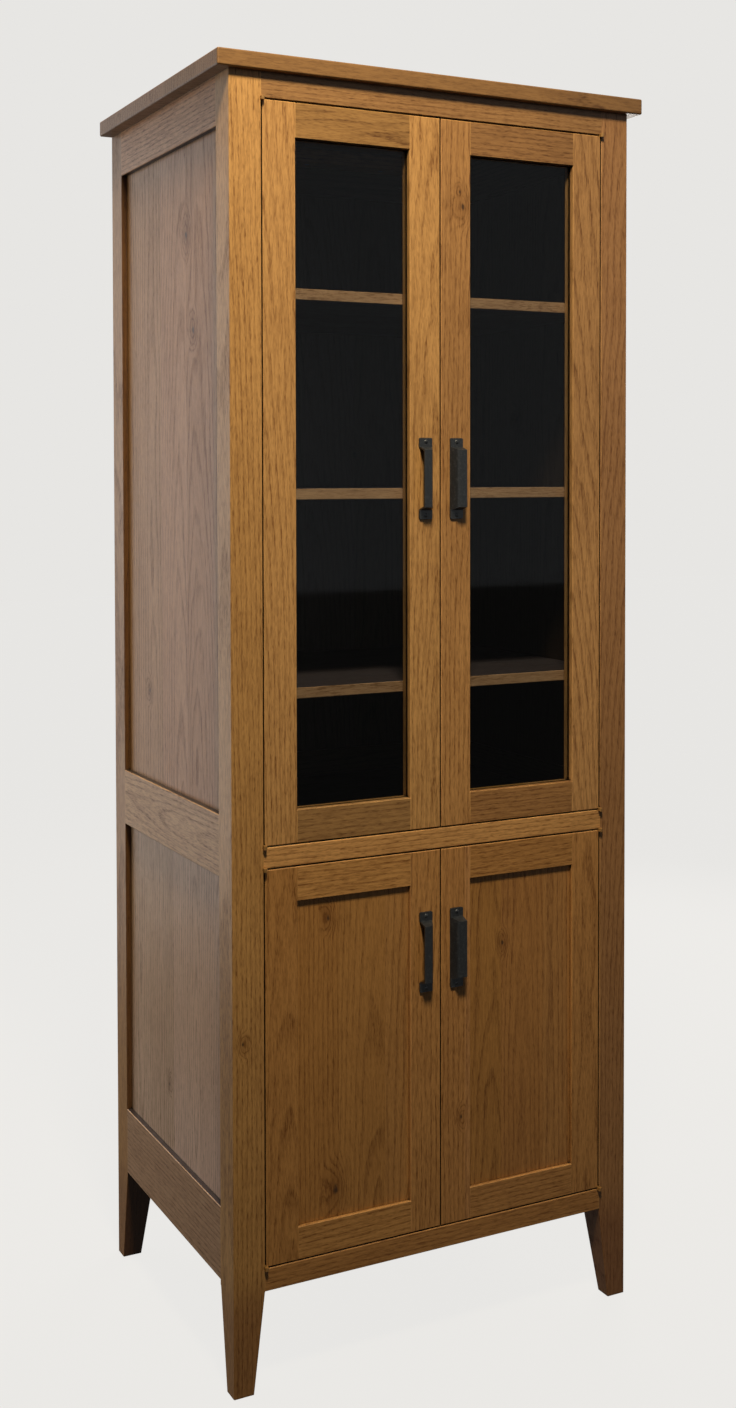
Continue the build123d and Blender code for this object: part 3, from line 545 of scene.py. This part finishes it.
def iron_material(name):
    metal = bpy.context.scene.cabinet_metal
    material, recipe, place = new_material(name)
    # The arrises turn lighter, partly as wear and partly as a painted highlight.
    wear = recipe.group("Edge Wear", {"Radius": 0.0012, "Vector": place, "Patches": 220.0})["Mask"]
    iron, worn_and_highlit = tuple(metal.iron), tuple(metal.iron_worn_and_highlit)
    skin = recipe.group("Iron Skin", {"Vector": place, "Iron": iron, "Worn And Highlit": worn_and_highlit, "Edge": wear})
    # Painted shade: hollows and gaps round the iron darkened towards black.
    gap_shade = recipe.group("Gap Grime", {"Reach": IRON_GAP})["Mask"]
    finish_material(
        recipe,
        {
            "Base Color": recipe.mix(gap_shade, skin["Color"], PAINTED_IRON_SHADE), "Roughness": skin["Roughness"],
            "Normal": recipe.bump(skin["Height"], 0.8, 0.0004), "Specular IOR Level": 0.6,
        },
    )
    return material


def steel_material(name, steel, metallic=1.0):
    """Drawn steel, brushed along the piece and slightly dulled; less metallic under a lacquer."""
    material, recipe, place = new_material(name)
    brushed = recipe.noise(place, (2200.0, 90.0, 2200.0), 2.0)
    dull = recipe.noise(place, (60.0, 60.0, 60.0), 4.0, 0.6)
    wear = recipe.group("Edge Wear", {"Radius": 0.0006, "Vector": place, "Patches": 300.0})["Mask"]
    tone = recipe.calc("MULTIPLY_ADD", dull, 0.4, 0.45, clamp=True)
    colour = recipe.mix(tone, shade(steel, 0.55), tuple(steel))
    colour = recipe.mix(recipe.calc("MULTIPLY", wear, 0.5), colour, shade(steel, 1.3))
    finish_material(
        recipe,
        {
            "Base Color": colour, "Metallic": metallic, "Normal": recipe.bump(brushed, 0.2, 0.0001),
            "Roughness": recipe.calc("MULTIPLY_ADD", dull, 0.2, 0.22),
        },
    )
    return material


def plastic_material(name):
    """Moulded plastic with a fine spark-eroded grain."""
    metal = bpy.context.scene.cabinet_metal
    material, recipe, place = new_material(name)
    grain = recipe.noise(place, (1800.0, 1800.0, 1800.0), 2.0)
    flow = recipe.noise(place, (90.0, 90.0, 40.0), 3.0)
    wear = recipe.group("Edge Wear", {"Radius": 0.0008, "Vector": place, "Patches": 200.0})["Mask"]
    colour = recipe.mix(flow, shade(metal.plastic, 0.85), shade(metal.plastic, 1.12))
    colour = recipe.mix(recipe.calc("MULTIPLY", wear, 0.4), colour, shade(metal.plastic, 1.5))
    finish_material(
        recipe,
        {
            "Base Color": colour, "Roughness": recipe.calc("MULTIPLY_ADD", grain, 0.2, 0.38),
            "Normal": recipe.bump(grain, 0.25, 0.0001),
        },
    )
    return material


def glass_material(name):
    glass = bpy.context.scene.cabinet_glass
    material, recipe, _ = new_material(name)
    finish_material(
        recipe,
        {"Base Color": tuple(glass.tint), "Roughness": 0.03, "Alpha": glass.density, "IOR": 1.52},
    )
    return material


def paint(node, material):
    """Gives a frame node one material."""
    slots = NODES[node].data.materials
    slots.clear()
    slots.append(material)


# ---- Meshes ---------------------------------------------------------------------------------------
def merged_copy(node):
    """A bmesh of a frame node, with its loose triangles joined at their shared corners."""
    mesh = bmesh.new()
    mesh.from_mesh(NODES[node].data)
    bmesh.ops.remove_doubles(mesh, verts=mesh.verts, dist=SAME_PLACE)
    return mesh


def islands(mesh):
    """The vertices of each separate solid in a mesh."""
    left = set(mesh.verts)
    while left:
        front, found = [left.pop()], []
        while front:
            vertex = front.pop()
            found.append(vertex)
            for edge in vertex.link_edges:
                other = edge.other_vert(vertex)
                if other in left:
                    left.remove(other)
                    front.append(other)
        yield found


def smooth_shade(mesh):
    """Smooth faces, with every edge above the sharp angle kept crisp."""
    for face in mesh.faces:
        face.smooth = True
    for edge in mesh.edges:
        edge.smooth = edge.is_manifold and edge.calc_face_angle(0.0) < SHARP_ANGLE


def add_piece(name, mesh_data, material, body, slot, *nodes):
    piece = bpy.data.objects.new(name, mesh_data)
    bpy.context.scene.collection.objects.link(piece)
    if material is not None:
        mesh_data.materials.clear()
        mesh_data.materials.append(material)
    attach(piece, body)
    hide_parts(*nodes)
    return piece


# ---- Screws, by geometry nodes --------------------------------------------------------------------
SCREW_INPUTS = (
    ("Head Radius", 0.004), ("Head Depth", 0.002), ("Crown", 0.0), ("Shank Radius", 0.0018),
    ("Length", 0.016), ("Slot Width", 0.001), ("Slot Depth", 0.0008),
)


def screw_tree():
    """Slotted screws on points: each looks along its point's 'facing', its slot at a seeded turn."""
    found = bpy.data.node_groups.get("Slotted Screws")
    if found:
        return found
    tree = bpy.data.node_groups.new("Slotted Screws", "GeometryNodeTree")
    face = tree.interface
    face.new_socket("Geometry", in_out="INPUT", socket_type="NodeSocketGeometry")
    for label, default in SCREW_INPUTS:
        socket = face.new_socket(label, in_out="INPUT", socket_type="NodeSocketFloat")
        socket.default_value, socket.subtype = default, "DISTANCE"
    face.new_socket("Seed", in_out="INPUT", socket_type="NodeSocketInt")
    face.new_socket("Material", in_out="INPUT", socket_type="NodeSocketMaterial")
    face.new_socket("Geometry", in_out="OUTPUT", socket_type="NodeSocketGeometry")
    given = tree.nodes.new("NodeGroupInput").outputs

    def node(kind, inputs=(), **settings):
        made = tree.nodes.new(kind)
        for name, value in settings.items():
            setattr(made, name, value)
        for key, value in dict(inputs).items():
            if isinstance(value, bpy.types.NodeSocket):
                tree.links.new(value, made.inputs[key])
            else:
                made.inputs[key].default_value = value
        return made

    def calc(operation, *values):
        return node("ShaderNodeMath", enumerate(values), operation=operation).outputs[0]

    def placed(mesh, height):
        offset = node("ShaderNodeCombineXYZ", {"Z": height}).outputs[0]
        return node("GeometryNodeTransform", {"Geometry": mesh, "Translation": offset}).outputs[0]

    def cylinder(radius, depth, sides):
        return node(
            "GeometryNodeMeshCylinder", {"Vertices": sides, "Radius": radius, "Depth": depth}
        ).outputs["Mesh"]

    # The head: a cone down to the shank, with a shallow crown cut from a sphere.
    cone = node(
        "GeometryNodeMeshCone",
        {"Vertices": 32, "Radius Top": given["Head Radius"], "Radius Bottom": given["Shank Radius"],
         "Depth": given["Head Depth"]},
    ).outputs["Mesh"]
    cone = placed(cone, calc("MULTIPLY", given["Head Depth"], -1.0))
    crown = calc("MAXIMUM", given["Crown"], LEAST_CROWN)
    radius = calc(
        "DIVIDE", calc("ADD", calc("POWER", given["Head Radius"], 2.0), calc("POWER", crown, 2.0)),
        calc("MULTIPLY", crown, 2.0),
    )
    ball = node("GeometryNodeMeshUVSphere", {"Segments": 32, "Rings": 192, "Radius": radius})
    ball = placed(ball.outputs["Mesh"], calc("SUBTRACT", crown, radius))
    collar = cylinder(given["Head Radius"], calc("MULTIPLY", crown, 4.0), 32)
    collar = placed(collar, calc("MULTIPLY", crown, 2.0))
    cap = node("GeometryNodeMeshBoolean", {1: ball}, operation="INTERSECT", solver="EXACT")
    tree.links.new(collar, cap.inputs[1])
    shank = cylinder(given["Shank Radius"], given["Length"], 16)
    shank = placed(shank, calc("MULTIPLY", given["Length"], -0.5))
    solid = node("GeometryNodeMeshBoolean", operation="UNION", solver="EXACT")
    for part in (cap.outputs[0], cone, shank):
        tree.links.new(part, solid.inputs[1])

    # The slot, a little longer than the head.
    size = node(
        "ShaderNodeCombineXYZ",
        {"X": calc("MULTIPLY", given["Head Radius"], 2.4), "Y": given["Slot Width"],
         "Z": calc("MULTIPLY", given["Slot Depth"], 2.0)},
    ).outputs[0]
    slot = placed(node("GeometryNodeMeshCube", {"Size": size}).outputs["Mesh"], given["Crown"])
    screw = node("GeometryNodeMeshBoolean", {0: solid.outputs[0]}, operation="DIFFERENCE", solver="EXACT")
    tree.links.new(slot, screw.inputs[1])

    facing = node("GeometryNodeInputNamedAttribute", {"Name": "facing"}, data_type="FLOAT_VECTOR")
    aligned = node("FunctionNodeAlignRotationToVector", {"Vector": facing.outputs[0]}, axis="Z").outputs[0]
    turn = node(
        "FunctionNodeRandomValue", {2: -1.4, 3: 1.4, "Seed": given["Seed"]}, data_type="FLOAT"
    ).outputs[1]
    spin = node(
        "FunctionNodeAxisAngleToRotation", {"Axis": (0.0, 0.0, 1.0), "Angle": turn}
    ).outputs[0]
    rotation = node(
        "FunctionNodeRotateRotation", {"Rotation": aligned, "Rotate By": spin}, rotation_space="LOCAL"
    ).outputs[0]
    spread = node(
        "GeometryNodeInstanceOnPoints",
        {"Points": given["Geometry"], "Instance": screw.outputs[0], "Rotation": rotation},
    ).outputs[0]
    real = node("GeometryNodeRealizeInstances", {0: spread}).outputs[0]
    coated = node("GeometryNodeSetMaterial", {"Geometry": real, "Material": given["Material"]}).outputs[0]
    result = tree.nodes.new("NodeGroupOutput").inputs
    tree.links.new(coated, result[0])
    return tree


def screw_places(node):
    """(top of the head's seat, way it faces, head radius, length) of each screw in a frame node."""
    mesh = merged_copy(node)
    found = []
    for vertices in islands(mesh):
        points = [vertex.co.copy() for vertex in vertices]
        low = Vector(min(p[i] for p in points) for i in range(3))
        high = Vector(max(p[i] for p in points) for i in range(3))
        size = high - low
        axis = max(range(3), key=lambda i: size[i])
        centre = (low + high) / 2
        across = [i for i in range(3) if i != axis]
        middle = [centre[i] for i in across]
        radii = []
        for end in (low, high):
            near = [p for p in points if abs(p[axis] - end[axis]) < 0.25 * size[axis]]
            radii.append(max(math.dist([p[i] for i in across], middle) for p in near))
        outward = Vector((0.0, 0.0, 0.0))
        outward[axis] = 1.0 if radii[1] > radii[0] else -1.0
        head = centre.copy()
        head[axis] = high[axis] if radii[1] > radii[0] else low[axis]
        found.append((head, outward, max(radii), size[axis]))
    mesh.free()
    return sorted(found, key=lambda place: tuple(round(part, 5) for part in place[0]))


def make_screws(name, places, body, slot, material, node, **sizes):
    """One mesh of slotted screws for one body, from the screw tree."""
    fittings = bpy.context.scene.cabinet_fittings
    points = bpy.data.meshes.new(name)
    points.from_pydata([place for place, *_ in places], [], [])
    facing = points.attributes.new("facing", "FLOAT_VECTOR", "POINT")
    facing.data.foreach_set("vector", [part for _, outward, *_ in places for part in outward])
    holder = bpy.data.objects.new(name + "_points", points)
    bpy.context.scene.collection.objects.link(holder)
    tree = screw_tree()
    modifier = holder.modifiers.new("Screws", "NODES")
    modifier.node_group = tree
    sizes = {
        "Slot Width": fittings.slot_width, "Slot Depth": fittings.slot_depth, "Seed": fittings.slot_seed,
        "Material": material, **sizes,
    }
    for socket in tree.interface.items_tree:
        if socket.in_out == "INPUT" and socket.name in sizes:
            modifier[socket.identifier] = sizes[socket.name]
    graph = bpy.context.evaluated_depsgraph_get()
    made = bpy.data.meshes.new_from_object(holder.evaluated_get(graph))
    bpy.data.objects.remove(holder)
    if not made.polygons:
        raise RuntimeError(f"the screw tree made nothing for {name}")
    made.name = name
    shell = bmesh.new()
    shell.from_mesh(made)
    smooth_shade(shell)
    shell.to_mesh(made)
    shell.free()
    return add_piece(name, made, None, body, slot, node)


# ---- Operators ------------------------------------------------------------------------------------
class CABINET_OT_carcass(bpy.types.Operator):
    """Oil the posts, rails and slab of the carcass"""

    bl_idname = "cabinet.carcass"
    bl_label = "Carcass"

    def execute(self, context):
        # Painted light and shade: the lights are partly each board's own tone, and the right front post is
        # darker as painted
        # shade. The rear posts get painted shade on all but their outer faces. All posts turn darker
        # towards the feet.
        posts = {  # seed, light, outward, knots
            "left_front": (1, (1.0, 0.98, 1.0), None, [(-0.3298, -0.2205, 0.5065, 0.0018)]),
            "right_front": (2, (0.76, 0.69, 0.87), None, []),
            "left_rear": (3, (0.80, 0.74, 0.74), (-0.8, 0.6, 0.0), []),
            "right_rear": (4, (0.9, 0.9, 0.95), (0.8, 0.6, 0.0), []),
        }
        for name, (seed, light, outward, knots) in posts.items():
            material = oak_material(
                f"Oak {name} post", "upright", seed, knots=knots, tone=0.05, light=light, outward=outward,
                painted_shade=PAINTED_POST_SHADE, lower=(0.10, 0.19, (0.74, 0.68, 0.70)),
            )
            paint(f"{name}_post", material)
        # Painted light and shade: the lights are partly each board's own tone. The top front rail is
        # darkened as a painted
        # shadow under the slab, and the side rails turn bluer towards the bottom as a painted cool sheen.
        rails = {  # seed, light of the front rail, light of the side rails, knots of the front rail
            "top": (5, (0.63, 0.60, 0.69), (0.90, 0.72, 0.55), [(-0.2708, -0.2205, 1.8329, 0.0016)]),
            "middle": (6, (1.24, 1.20, 1.28), (0.90, 0.84, 0.80), []),
            "bottom": (7, (0.94, 0.83, 0.85), (0.84, 0.88, 1.38), []),
        }
        for name, (seed, front_light, side_light, knots) in rails.items():
            material = oak_material(
                f"Oak front {name} rail", "across", seed, knots=knots, streaks=0.65, tone=0.05,
                light=front_light,
            )
            paint(f"front_{name}_rail", material)
            # Painted shade darkens the inside faces of the side rails.
            for side, number, outward in (("left", seed + 10, (-1, 0, 0)), ("right", seed + 20, (1, 0, 0))):
                material = oak_material(
                    f"Oak {side} {name} rail", "front to back", number, tone=0.10, light=side_light,
                    outward=outward,
                )
                paint(f"{side}_{name}_side_rail", material)
        # Painted shade darkens the inside faces of the back rails.
        paint("back_rails", oak_material("Oak back rails", "across", 41, tone=0.15, outward=(0, 1, 0)))
        slab = oak_material(
            "Oak slab", "across, boards front to back", 9, board=0.118, streaks=0.60, dust=0.06,
            light=(0.44, 0.40, 0.39), tone=0.10,
            knots=[(0.06, -0.04, 1.9, 0.004), (-0.21, 0.13, 1.9, 0.003)],
        )
        paint("top_slab", slab)
        return {"FINISHED"}


class CABINET_OT_panels(bpy.types.Operator):
    """Oil the glued-up panels of the sides, the back and the lower doors"""

    bl_idname = "cabinet.panels"
    bl_label = "Panels"

    def execute(self, context):
        board = context.scene.cabinet_oak.panel_board
        side_knots = {
            "left_upper": [(-0.337, -0.0505, 1.6718, 0.0036), (-0.337, 0.1024, 0.9703, 0.0024),
                           (-0.337, -0.0746, 1.5279, 0.0030)],
            "left_lower": [(-0.337, 0.0300, 0.3600, 0.0020)],
            "right_upper": [(0.337, 0.0400, 1.4100, 0.0034), (0.337, -0.1050, 1.1300, 0.0028)],
            "right_lower": [(0.337, -0.0600, 0.5200, 0.0030)],
        }
        # Painted light: the upper side panels are darkened and warmed for a weaker cool sheen, and the
        # right panels take like shares.
        painted_light_shares = {
            "left_upper": (0.76, 0.66, 0.60), "left_lower": (0.90, 0.95, 1.35),
            "right_upper": (0.76, 0.66, 0.60), "right_lower": (0.78, 0.70, 0.66),
        }
        for seed, (name, knots) in enumerate(side_knots.items(), 50):
            left = name.startswith("left")
            # Painted light and shade: the left panels turn lighter and bluer below 0.62 m as a painted cool
            # sheen, and inside faces get painted shade.
            material = oak_material(
                f"Oak {name} panel", "upright, boards front to back", seed, board=board, knots=knots,
                rings=0.32, streaks=0.45, heart_shift=board, light=painted_light_shares[name],
                lower=(0.22, 0.62, (1.22, 1.42, 2.0)) if left else None,
                outward=(-1, 0, 0) if left else (1, 0, 0),
            )
            paint(f"{name}_side_panel", material)
        door_panels = {  # light, knots
            "left": (
                (0.90, 0.80, 0.78),
                [(-0.1897, -0.2155, 0.6696, 0.0024), (-0.1775, -0.2155, 0.2684, 0.0042)],
            ),
            "right": ((0.84, 0.73, 0.66), [(0.1145, -0.2155, 0.5937, 0.0022)]),
        }
        for seed, (side, (light, knots)) in enumerate(door_panels.items(), 60):
            material = oak_material(
                f"Oak lower {side} door panel", "upright", seed, board=0.8 * board, knots=knots,
                rings=0.30, streaks=0.50, light=light, tone=0.10, heart_shift=board,
            )
            paint(f"lower_{side}_door_panel", material)
        back_knots = {"upper": (0.11, 0.2275, 1.35, 0.0036), "lower": (0.11, 0.2275, 0.45, 0.0036)}
        for seed, (level, knot) in enumerate(back_knots.items(), 70):
            material = oak_material(
                # Painted shade darkens the back panels' inside faces.
                f"Oak {level} back panel", "upright", seed, board=board, outward=(0, 1, 0),
                knots=[knot], heart_shift=board,
            )
            paint(f"{level}_back_panel", material)
        return {"FINISHED"}


class CABINET_OT_inside(bpy.types.Operator):
    """Finish the shelves, decks, battens, pins and catches"""

    bl_idname = "cabinet.inside"
    bl_label = "Inside"

    def execute(self, context):
        for seed, name in enumerate(("shelves", "middle_deck", "bottom_deck"), 31):
            # Painted light and shade: the shelves are made lighter and bluer for the light reaching them
            # through the glass,
            # and all but their front edges get painted shade.
            material = oak_material(
                f"Oak {name}", "across, boards front to back", seed, board=0.105, streaks=0.55, dust=0.12,
                light=(1.32, 1.55, 2.6), heart_shift=0.1, outward=(0, -1, 0),
            )
            paint(name, material)
        paint("top_battens", oak_material("Oak battens", "across", 37))
        paint("shelf_pins", steel_material("Steel pins", context.scene.cabinet_metal.steel))
        paint("catches", plastic_material("Catch plastic"))
        return {"FINISHED"}


class CABINET_OT_doors(bpy.types.Operator):
    """Oil the door frames and set their glass"""

    bl_idname = "cabinet.doors"
    bl_label = "Doors"

    def execute(self, context):
        glass = glass_material("Smoked glass")
        # Painted light and shade: the lights are partly each board's own tone. The upper rails are darker,
        # the upper right
        # stiles darker than the left, and the upper frames turn lighter below about 1.5 m as painted light.
        frames = {  # light of the stiles, light of the rails, lower, knots of the stiles
            "upper_left_door": (
                (1.0, 0.98, 1.03), (0.62, 0.60, 0.60), (0.85, 1.45, (1.10, 1.12, 1.18)), [],
            ),
            "upper_right_door": (
                (0.80, 0.74, 0.82), (0.56, 0.51, 0.53), (0.85, 1.55, (1.35, 1.38, 1.42)),
                [(0.0398, -0.2205, 1.7106, 0.0030), (0.0340, -0.2205, 1.7330, 0.0018)],
            ),
            "lower_left_door": ((1.0, 0.89, 0.92), (1.12, 1.06, 1.12), None, []),
            "lower_right_door": (
                (1.0, 0.90, 0.96), (0.98, 0.88, 0.92), None, [(0.0361, -0.2205, 0.3388, 0.0020)],
            ),
        }
        for seed, (door, (stile_light, rail_light, lower, knots)) in enumerate(frames.items(), 80):
            stiles = oak_material(
                f"Oak {door} stiles", "upright", seed, board=STILE_BOARD, tone=0.08, knots=knots,
                light=stile_light, lower=lower,
            )
            paint(f"{door}_stiles", stiles)
            rails = oak_material(
                f"Oak {door} rails", "across", seed + 5, board=RAIL_BOARD, tone=0.08, streaks=0.65,
                light=rail_light, lower=lower,
            )
            paint(f"{door}_rails", rails)
            if door.startswith("upper"):
                paint(f"{door}_glass", glass)
                paint(f"{door}_beads", oak_material(f"Oak {door} beads", "upright", seed + 10))
        return {"FINISHED"}


class CABINET_OT_handles(bpy.types.Operator):
    """Make the folded iron handles with softened edges"""

    bl_idname = "cabinet.handles"
    bl_label = "Handles"

    def execute(self, context):
        iron = iron_material("Black iron")
        for door in DOORS:
            shell = merged_copy(f"{door}_handle")
            flat = [edge for edge in shell.edges if edge.calc_face_angle(1.0) < FLAT_ANGLE]
            bmesh.ops.dissolve_edges(shell, edges=flat, use_verts=False)
            smooth_shade(shell)
            mesh = bpy.data.meshes.new(f"{door}_handle_iron")
            shell.to_mesh(mesh)
            shell.free()
            piece = add_piece(f"{door}_handle_iron", mesh, iron, door, "black_iron", f"{door}_handle")
            bevel = piece.modifiers.new("Softened edges", "BEVEL")
            bevel.width, bevel.segments = context.scene.cabinet_fittings.handle_edge, 2
            bevel.limit_method, bevel.angle_limit = "ANGLE", SHARP_ANGLE
            bevel.harden_normals = True
        return {"FINISHED"}


class CABINET_OT_screws(bpy.types.Operator):
    """Drive the domed handle screws and the countersunk screws of the hinges"""

    bl_idname = "cabinet.screws"
    bl_label = "Screws"

    def execute(self, context):
        iron = iron_material("Black iron screws")
        steel = steel_material("Steel screws", context.scene.cabinet_metal.steel)
        hinge = steel_material("Bronzed hinge steel", context.scene.cabinet_metal.hinge, 0.25)
        for door in DOORS:
            node = f"{door}_handle_screws"
            places = screw_places(node)
            reach = places[0][2]
            seated = [(place - outward * DOME_RISE, outward, *rest) for place, outward, *rest in places]
            make_screws(
                f"{door}_domed_screws", seated, door, "black_iron", iron, node, **{
                    "Head Radius": reach, "Head Depth": DOME_NECK, "Crown": DOME_RISE,
                    "Shank Radius": DOME_SHANK, "Length": places[0][3] - DOME_RISE,
                }
            )
            paint(f"{door}_screws", steel)
            paint(f"{door}_hinge_leaves", hinge)
        paint("frame_screws", steel)
        paint("frame_hinge_leaves", hinge)
        return {"FINISHED"}


class CABINET_OT_stage(bpy.types.Operator):
    """Lay a pale floor, set the lights and stand the camera in front of the cabinet's left corner"""

    bl_idname = "cabinet.stage"
    bl_label = "Stage"

    def execute(self, context):
        scene, studio = context.scene, context.scene.cabinet_studio
        self.lay_floor(scene, studio)
        self.light_world(scene, studio)
        low, high = CAD_BOX
        middle = (low + high) / 2
        key = self.add_lamp(
            scene, "Key", "SPOT", studio.key_place, (-0.17, low.y, 1.65), studio.key_power,
            studio.key_colour,
        )
        key.shadow_soft_size, key.spot_size, key.spot_blend = KEY_SIZE, KEY_BEAM, 1.0
        softboxes = (
            ("Side sheen", low.x, -1.15, (0.95, 2.8), studio.sheen_power, studio.sheen_colour),
            ("Far fill", high.x, 1.6, (1.7, 2.0), studio.fill_power, studio.fill_colour),
        )
        for name, edge, beside, (height, tall), power, colour in softboxes:
            place, aim = (edge + beside, high.y + SOFTBOX_BEHIND, height), (edge, middle.y, middle.z)
            softbox = self.add_lamp(scene, name, "AREA", place, aim, power, colour)
            softbox.shape, softbox.size, softbox.size_y = "RECTANGLE", SOFTBOX_WIDTH, tall
        self.stand_camera(scene, studio)
        scene.view_settings.view_transform = "Standard"
        return {"FINISHED"}

    def lay_floor(self, scene, studio):
        corners = [(x * FLOOR_REACH, y * FLOOR_REACH, 0.0) for x, y in ((-1, -1), (1, -1), (1, 1), (-1, 1))]
        mesh = bpy.data.meshes.new("studio_floor")
        mesh.from_pydata(corners, [], [(0, 1, 2, 3)])
        floor = bpy.data.objects.new("studio_floor", mesh)
        scene.collection.objects.link(floor)
        material, recipe, place = new_material("Studio floor")
        speckle = recipe.noise(place, (30.0, 30.0, 30.0), 4.0)
        colour = recipe.mix(speckle, [0.97 * part for part in studio.floor], tuple(studio.floor))
        dimmed = recipe.mix(FLOOR_DIM, colour, (0.0, 0.0, 0.0))
        plain = recipe.node("BsdfDiffuse", {"Color": dimmed}).outputs[0]
        glow = recipe.node("Emission", {"Color": tuple(studio.floor)}).outputs[0]
        path = recipe.node("LightPath").outputs
        both = recipe.node("AddShader", {0: plain, 1: glow}).outputs[0]
        gloss = recipe.calc("MULTIPLY", path["Is Glossy Ray"], FLOOR_IN_POLISH)
        dim = recipe.node("MixShader", {0: gloss, 1: plain, 2: glow})
        shown = recipe.node("MixShader", {0: path["Is Camera Ray"], 1: dim.outputs[0], 2: both}).outputs[0]
        recipe.node("OutputMaterial", {"Surface": shown})
        mesh.materials.append(material)

    def light_world(self, scene, studio):
        world = bpy.data.worlds.new("Studio air")
        world.use_nodes = True
        world.node_tree.nodes.clear()
        recipe = Recipe(world.node_tree)
        path = recipe.node("LightPath").outputs
        soft, room, pale = (
            recipe.node("Background", {"Color": colour, "Strength": strength}).outputs[0]
            for colour, strength in (
                ((0.92, 0.95, 1.0), studio.ambient),
                ((0.92, 0.96, 1.0), studio.mirrored),
                (tuple(studio.floor), 1.0),
            )
        )
        shown = recipe.node("MixShader", {0: path["Is Glossy Ray"], 1: soft, 2: room}).outputs[0]
        shown = recipe.node("MixShader", {0: path["Is Camera Ray"], 1: shown, 2: pale}).outputs[0]
        recipe.node("OutputWorld", {"Surface": shown})
        scene.world = world

    def add_lamp(self, scene, name, kind, place, target, power, colour):
        lamp = bpy.data.lights.new(name, kind)
        lamp.energy, lamp.color = power, colour
        light = bpy.data.objects.new(name, lamp)
        light.location = place
        light.rotation_euler = (Vector(target) - Vector(place)).to_track_quat("-Z", "Y").to_euler()
        scene.collection.objects.link(light)
        return lamp

    def stand_camera(self, scene, studio):
        yaw, pitch, roll = studio.camera_turn
        ahead = Vector((math.sin(yaw) * math.cos(pitch), math.cos(yaw) * math.cos(pitch), -math.sin(pitch)))
        right = Vector((math.cos(yaw), -math.sin(yaw), 0.0))
        down = ahead.cross(right)
        right, down = (
            right * math.cos(roll) + down * math.sin(roll), down * math.cos(roll) - right * math.sin(roll)
        )
        lens = bpy.data.cameras.new("Camera")
        lens.lens, lens.sensor_width, lens.sensor_fit = studio.lens, 36.0, "AUTO"
        lens.shift_x, lens.shift_y = studio.shift
        camera = bpy.data.objects.new("Camera", lens)
        turned = Matrix((right, -down, -ahead)).transposed().to_4x4()
        camera.matrix_world = Matrix.Translation(studio.camera_place) @ turned
        scene.collection.objects.link(camera)
        scene.camera = camera


class CABINET_PT_sidebar(bpy.types.Panel):
    """Shows a button for each step and a box for each group of settings"""

    bl_label = "Pantry Cabinet"
    bl_idname = "CABINET_PT_sidebar"
    bl_space_type = "VIEW_3D"
    bl_region_type = "UI"
    bl_category = "Cabinet"

    def draw(self, context):
        for step in STEPS:
            self.layout.operator(step.bl_idname, text=step.bl_label)
        for group in (getattr(context.scene, name) for name in SETTINGS):
            box = self.layout.box()
            for name in group.__annotations__:
                box.prop(group, name)


STEPS = (
    CABINET_OT_carcass, CABINET_OT_panels, CABINET_OT_inside, CABINET_OT_doors, CABINET_OT_handles,
    CABINET_OT_screws, CABINET_OT_stage,
)
SETTINGS = {
    "cabinet_oak": OakFinish, "cabinet_metal": MetalFinish, "cabinet_glass": GlassFinish,
    "cabinet_fittings": Fittings, "cabinet_studio": Studio,
}


def register():
    for group in SETTINGS.values():
        bpy.utils.register_class(group)
    for name, group in SETTINGS.items():
        setattr(bpy.types.Scene, name, PointerProperty(type=group))
    for step in STEPS:
        bpy.utils.register_class(step)
    bpy.utils.register_class(CABINET_PT_sidebar)


def unregister():
    bpy.utils.unregister_class(CABINET_PT_sidebar)
    for step in reversed(STEPS):
        bpy.utils.unregister_class(step)
    for name, group in SETTINGS.items():
        delattr(bpy.types.Scene, name)
        bpy.utils.unregister_class(group)


def main():
    register()
    for step in STEPS:
        group, name = step.bl_idname.split(".")
        getattr(getattr(bpy.ops, group), name)()


if __name__ == "__main__":
    main()
